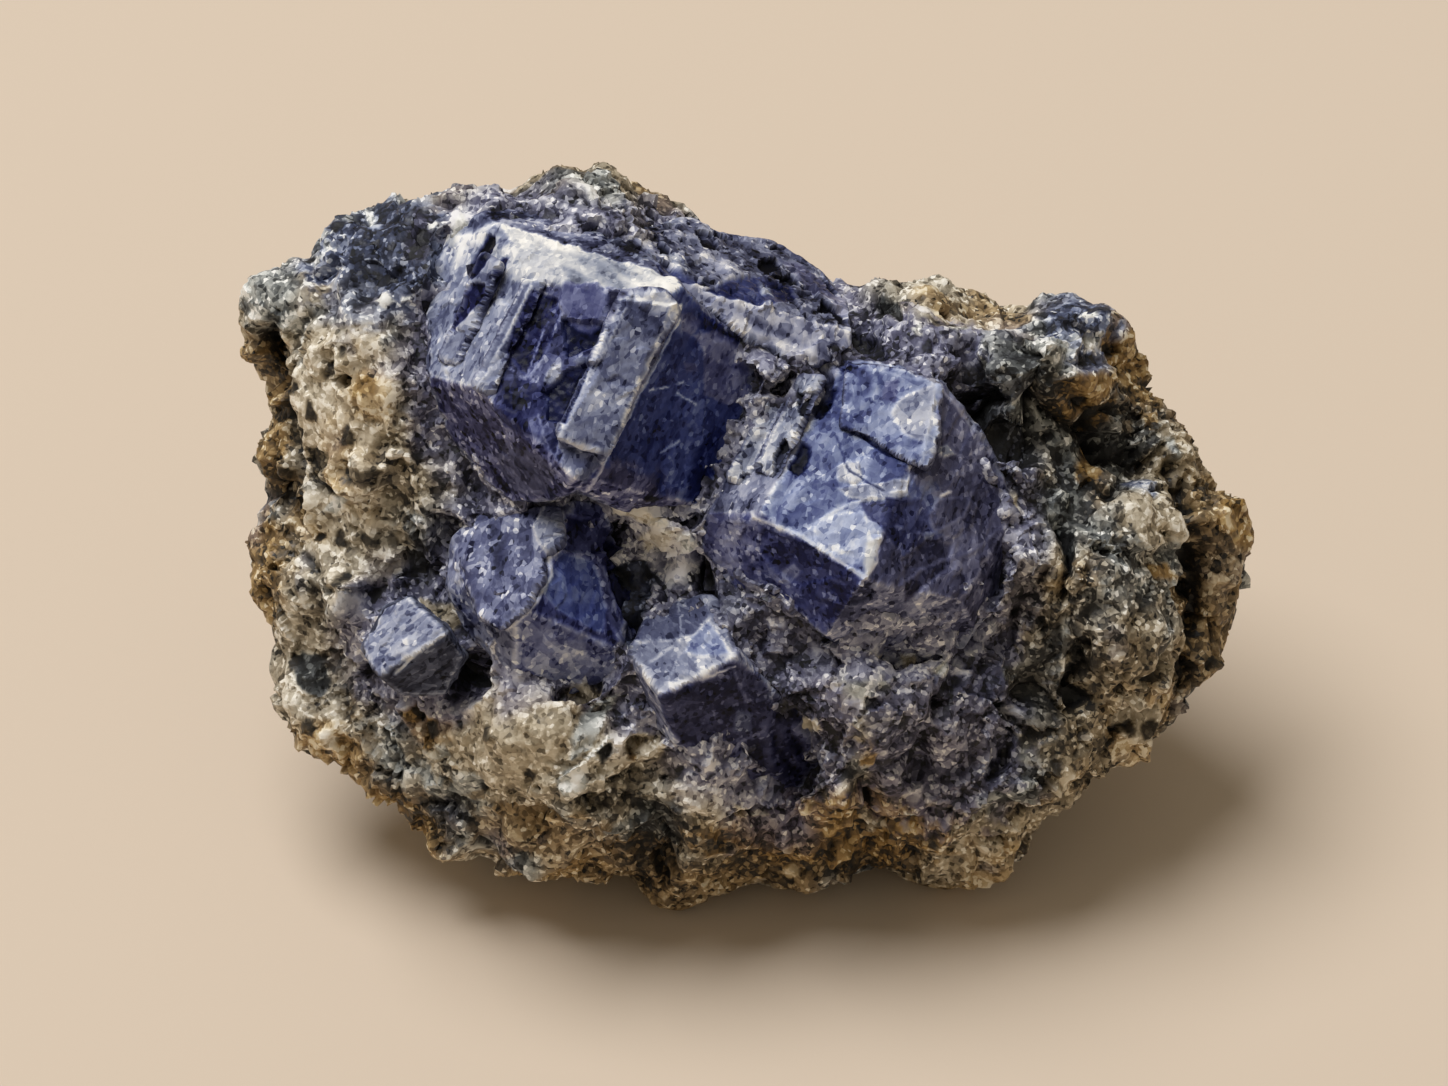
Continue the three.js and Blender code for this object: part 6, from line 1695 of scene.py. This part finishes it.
def weathered_gneiss():
    """Cordierite gneiss, broken and weathered: quartz and feldspar grains from white to grey, black mica
    flakes and brown iron stain. To the eye it is salt and pepper, with matte grains and a few that glint."""
    material, tree, shader = new_material("weathered_gneiss", GNEISS_ROUGHNESS, GNEISS_IOR, GNEISS_SHINE)
    masks = stored_masks(tree, MASKS_OF_GNEISS)
    where = add(tree, "ShaderNodeTexCoord").outputs["Object"]
    place = bent_place(tree, where, GNEISS_WOBBLE * MM, GNEISS_WOBBLE_REACH * MM)
    mineral_grain = grain_numbers(tree, place, MINERAL_SIZE * MM)
    speck_grain = grain_numbers(tree, place, SPECK_SIZE * MM)
    inputs = {"Vector": where, "Scale": 1 / (DUST_SIZE * MM), "Detail": DUST_DETAIL}
    dust = add(tree, "ShaderNodeTexNoise", inputs).outputs["Fac"]
    minerals = add(tree, "ShaderNodeValToRGB", {VALUE: mineral_grain[0]}, stops=MINERALS).outputs[0]
    specks = add(tree, "ShaderNodeValToRGB", {VALUE: speck_grain[0]}, stops=SPECKS).outputs[0]
    patterns = [(minerals, MINERAL_SHARE), (specks, SPECK_SHARE), (dust, DUST_SHARE)]
    swing = summed(tree, patterns, GNEISS_LEVEL)
    blend = mineral_colour(tree, swing, masks, GNEISS_STOPS, GREY_GNEISS, GNEISS_TINTS)
    rough = add(tree, "ShaderNodeMapRange", {VALUE: mineral_grain[1], AT_LEAST: GLINTING, AT_MOST: DULL})
    rise = summed(tree, [(speck_grain[1], GNEISS_SPECK_RISE)], dust)
    inputs = {"Height": rise, "Strength": GNEISS_BUMP, "Distance": GNEISS_BUMP_DEPTH * MM}
    bump = add(tree, "ShaderNodeBump", inputs)
    tree.links.new(blend, shader.inputs["Base Color"])
    tree.links.new(rough.outputs[0], shader.inputs["Roughness"])
    tree.links.new(bump.outputs[0], shader.inputs["Normal"])
    return material


def natural_iolite():
    """Iolite as it grew and broke: glassy dark violet-blue inside, with an etched skin that scatters light
    to pale blue-grey. To the eye it is deep and glossy where clean, and mottled and frosted elsewhere."""
    material, tree, shader = new_material("natural_iolite", IOLITE_ROUGHNESS, IOLITE_IOR, IOLITE_SHINE)
    masks = stored_masks(tree, MASKS_OF_IOLITE)
    grown = add(tree, "ShaderNodeAttribute", attribute_name="grown").outputs["Vector"]
    place = bent_place(tree, grown, IOLITE_WOBBLE, IOLITE_WOBBLE_REACH)
    broad_grain = grain_numbers(tree, place, BROAD_SIZE)
    streak_grain = grain_numbers(tree, place, STREAK_SIZE, distance="CHEBYCHEV")
    fleck_grain = grain_numbers(tree, place, FLECK_SIZE)
    inputs = {"Vector": grown, "Scale": 1 / VEIL_SIZE, "Detail": VEIL_DETAIL, "Roughness": VEIL_FINENESS}
    veil = add(tree, "ShaderNodeTexNoise", inputs).outputs["Fac"]
    flecks = add(tree, "ShaderNodeValToRGB", {VALUE: fleck_grain[0]}, stops=FLECKS).outputs[0]
    patterns = [(streak_grain[0], STREAK_SHARE), (broad_grain[0], BROAD_SHARE), (flecks, FLECK_SHARE),
                (veil, VEIL_SHARE)]
    swing = summed(tree, patterns, IOLITE_LEVEL)
    blend = mineral_colour(tree, swing, masks, IOLITE_STOPS, BLUE_IOLITE, IOLITE_TINTS)
    rough = add(tree, "ShaderNodeMapRange", {VALUE: masks["gloss"], AT_LEAST: ETCHED, AT_MOST: GLASSY})
    rise = summed(tree, [(fleck_grain[1], IOLITE_FLECK_RISE)], veil)
    inputs = {"Height": rise, "Strength": IOLITE_BUMP, "Distance": IOLITE_BUMP_DEPTH * MM}
    bump = add(tree, "ShaderNodeBump", inputs)
    tree.links.new(blend, shader.inputs["Base Color"])
    tree.links.new(rough.outputs[0], shader.inputs["Roughness"])
    tree.links.new(bump.outputs[0], shader.inputs["Normal"])
    return material


def sand_paper_board():
    """A matte sand-coloured card, smooth and evenly lit."""
    material, _, shader = new_material("sand_card", CARD_ROUGHNESS, CARD_IOR, CARD_SHINE)
    shader.inputs["Base Color"].default_value = colour(CARD_COLOUR)
    return material


# The studio

FLOOR_SIZE = 4.0
KEY_PLACE = (-0.52, 0.24, 1.50)
KEY_AIM = (0, 0, 0.018)
KEY_SIZE = 1.15
KEY_POWER = 23.2
KEY_COLOUR = "#fbfcff"
ROOM_COLOUR = "#f7ebd5"
FILL_STRENGTH = 0.29


def studio():
    """A plain pale floor, one large soft light from the upper left and behind, and an even warm room."""
    floor_mesh = bpy.data.meshes.new("floor")
    half = FLOOR_SIZE / 2
    corners = [(-half, -half, 0), (half, -half, 0), (half, half, 0), (-half, half, 0)]
    floor_mesh.from_pydata(corners, [], [(0, 1, 2, 3)])
    floor = link(bpy.data.objects.new("floor", floor_mesh))
    floor_mesh.materials.append(sand_paper_board())

    key = bpy.data.lights.new("key", "AREA")
    key.shape = "DISK"
    key.size = KEY_SIZE
    key.energy = KEY_POWER
    key.color = colour(KEY_COLOUR)[:3]
    lamp = link(bpy.data.objects.new("key", key))
    lamp.location = KEY_PLACE
    lamp.rotation_euler = (Vector(KEY_AIM) - lamp.location).to_track_quat("-Z", "Y").to_euler()

    world = bpy.data.worlds.new("room")
    bpy.context.scene.world = world
    world.use_nodes = True
    background = world.node_tree.nodes["Background"]
    background.inputs["Color"].default_value = colour(ROOM_COLOUR)
    background.inputs["Strength"].default_value = FILL_STRENGTH
    bpy.context.scene.view_settings.view_transform = "Standard"


def viewpoint():
    """The camera, square on to the leaning face."""
    lens = bpy.data.cameras.new("camera")
    lens.sensor_width = SENSOR
    lens.lens = LENS
    lens.clip_start = CLIP_START
    lens.clip_end = CLIP_END
    camera = link(bpy.data.objects.new("camera", lens))
    turn = Matrix(FACE_AXES.T.tolist()).to_4x4()
    camera.matrix_world = Matrix.Translation(Vector(to_row(CAMERA))) @ turn
    bpy.context.scene.camera = camera


# Putting it together

def stands_for(piece, node_name, material):
    """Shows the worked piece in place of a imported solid."""
    piece.data.materials.clear()
    piece.data.materials.append(material)
    link(piece)
    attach(piece, "root")
    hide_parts(node_name)


surfaces = {name: packed_surface(name) for name in ["gneiss_matrix", *CRYSTALS]}
viewpoint()
studio()
stands_for(gneiss_ground(surfaces), "gneiss_matrix", weathered_gneiss())
iolite = natural_iolite()
for crystal_name in CRYSTALS:
    stands_for(crystal_skin(crystal_name, surfaces), crystal_name, iolite)
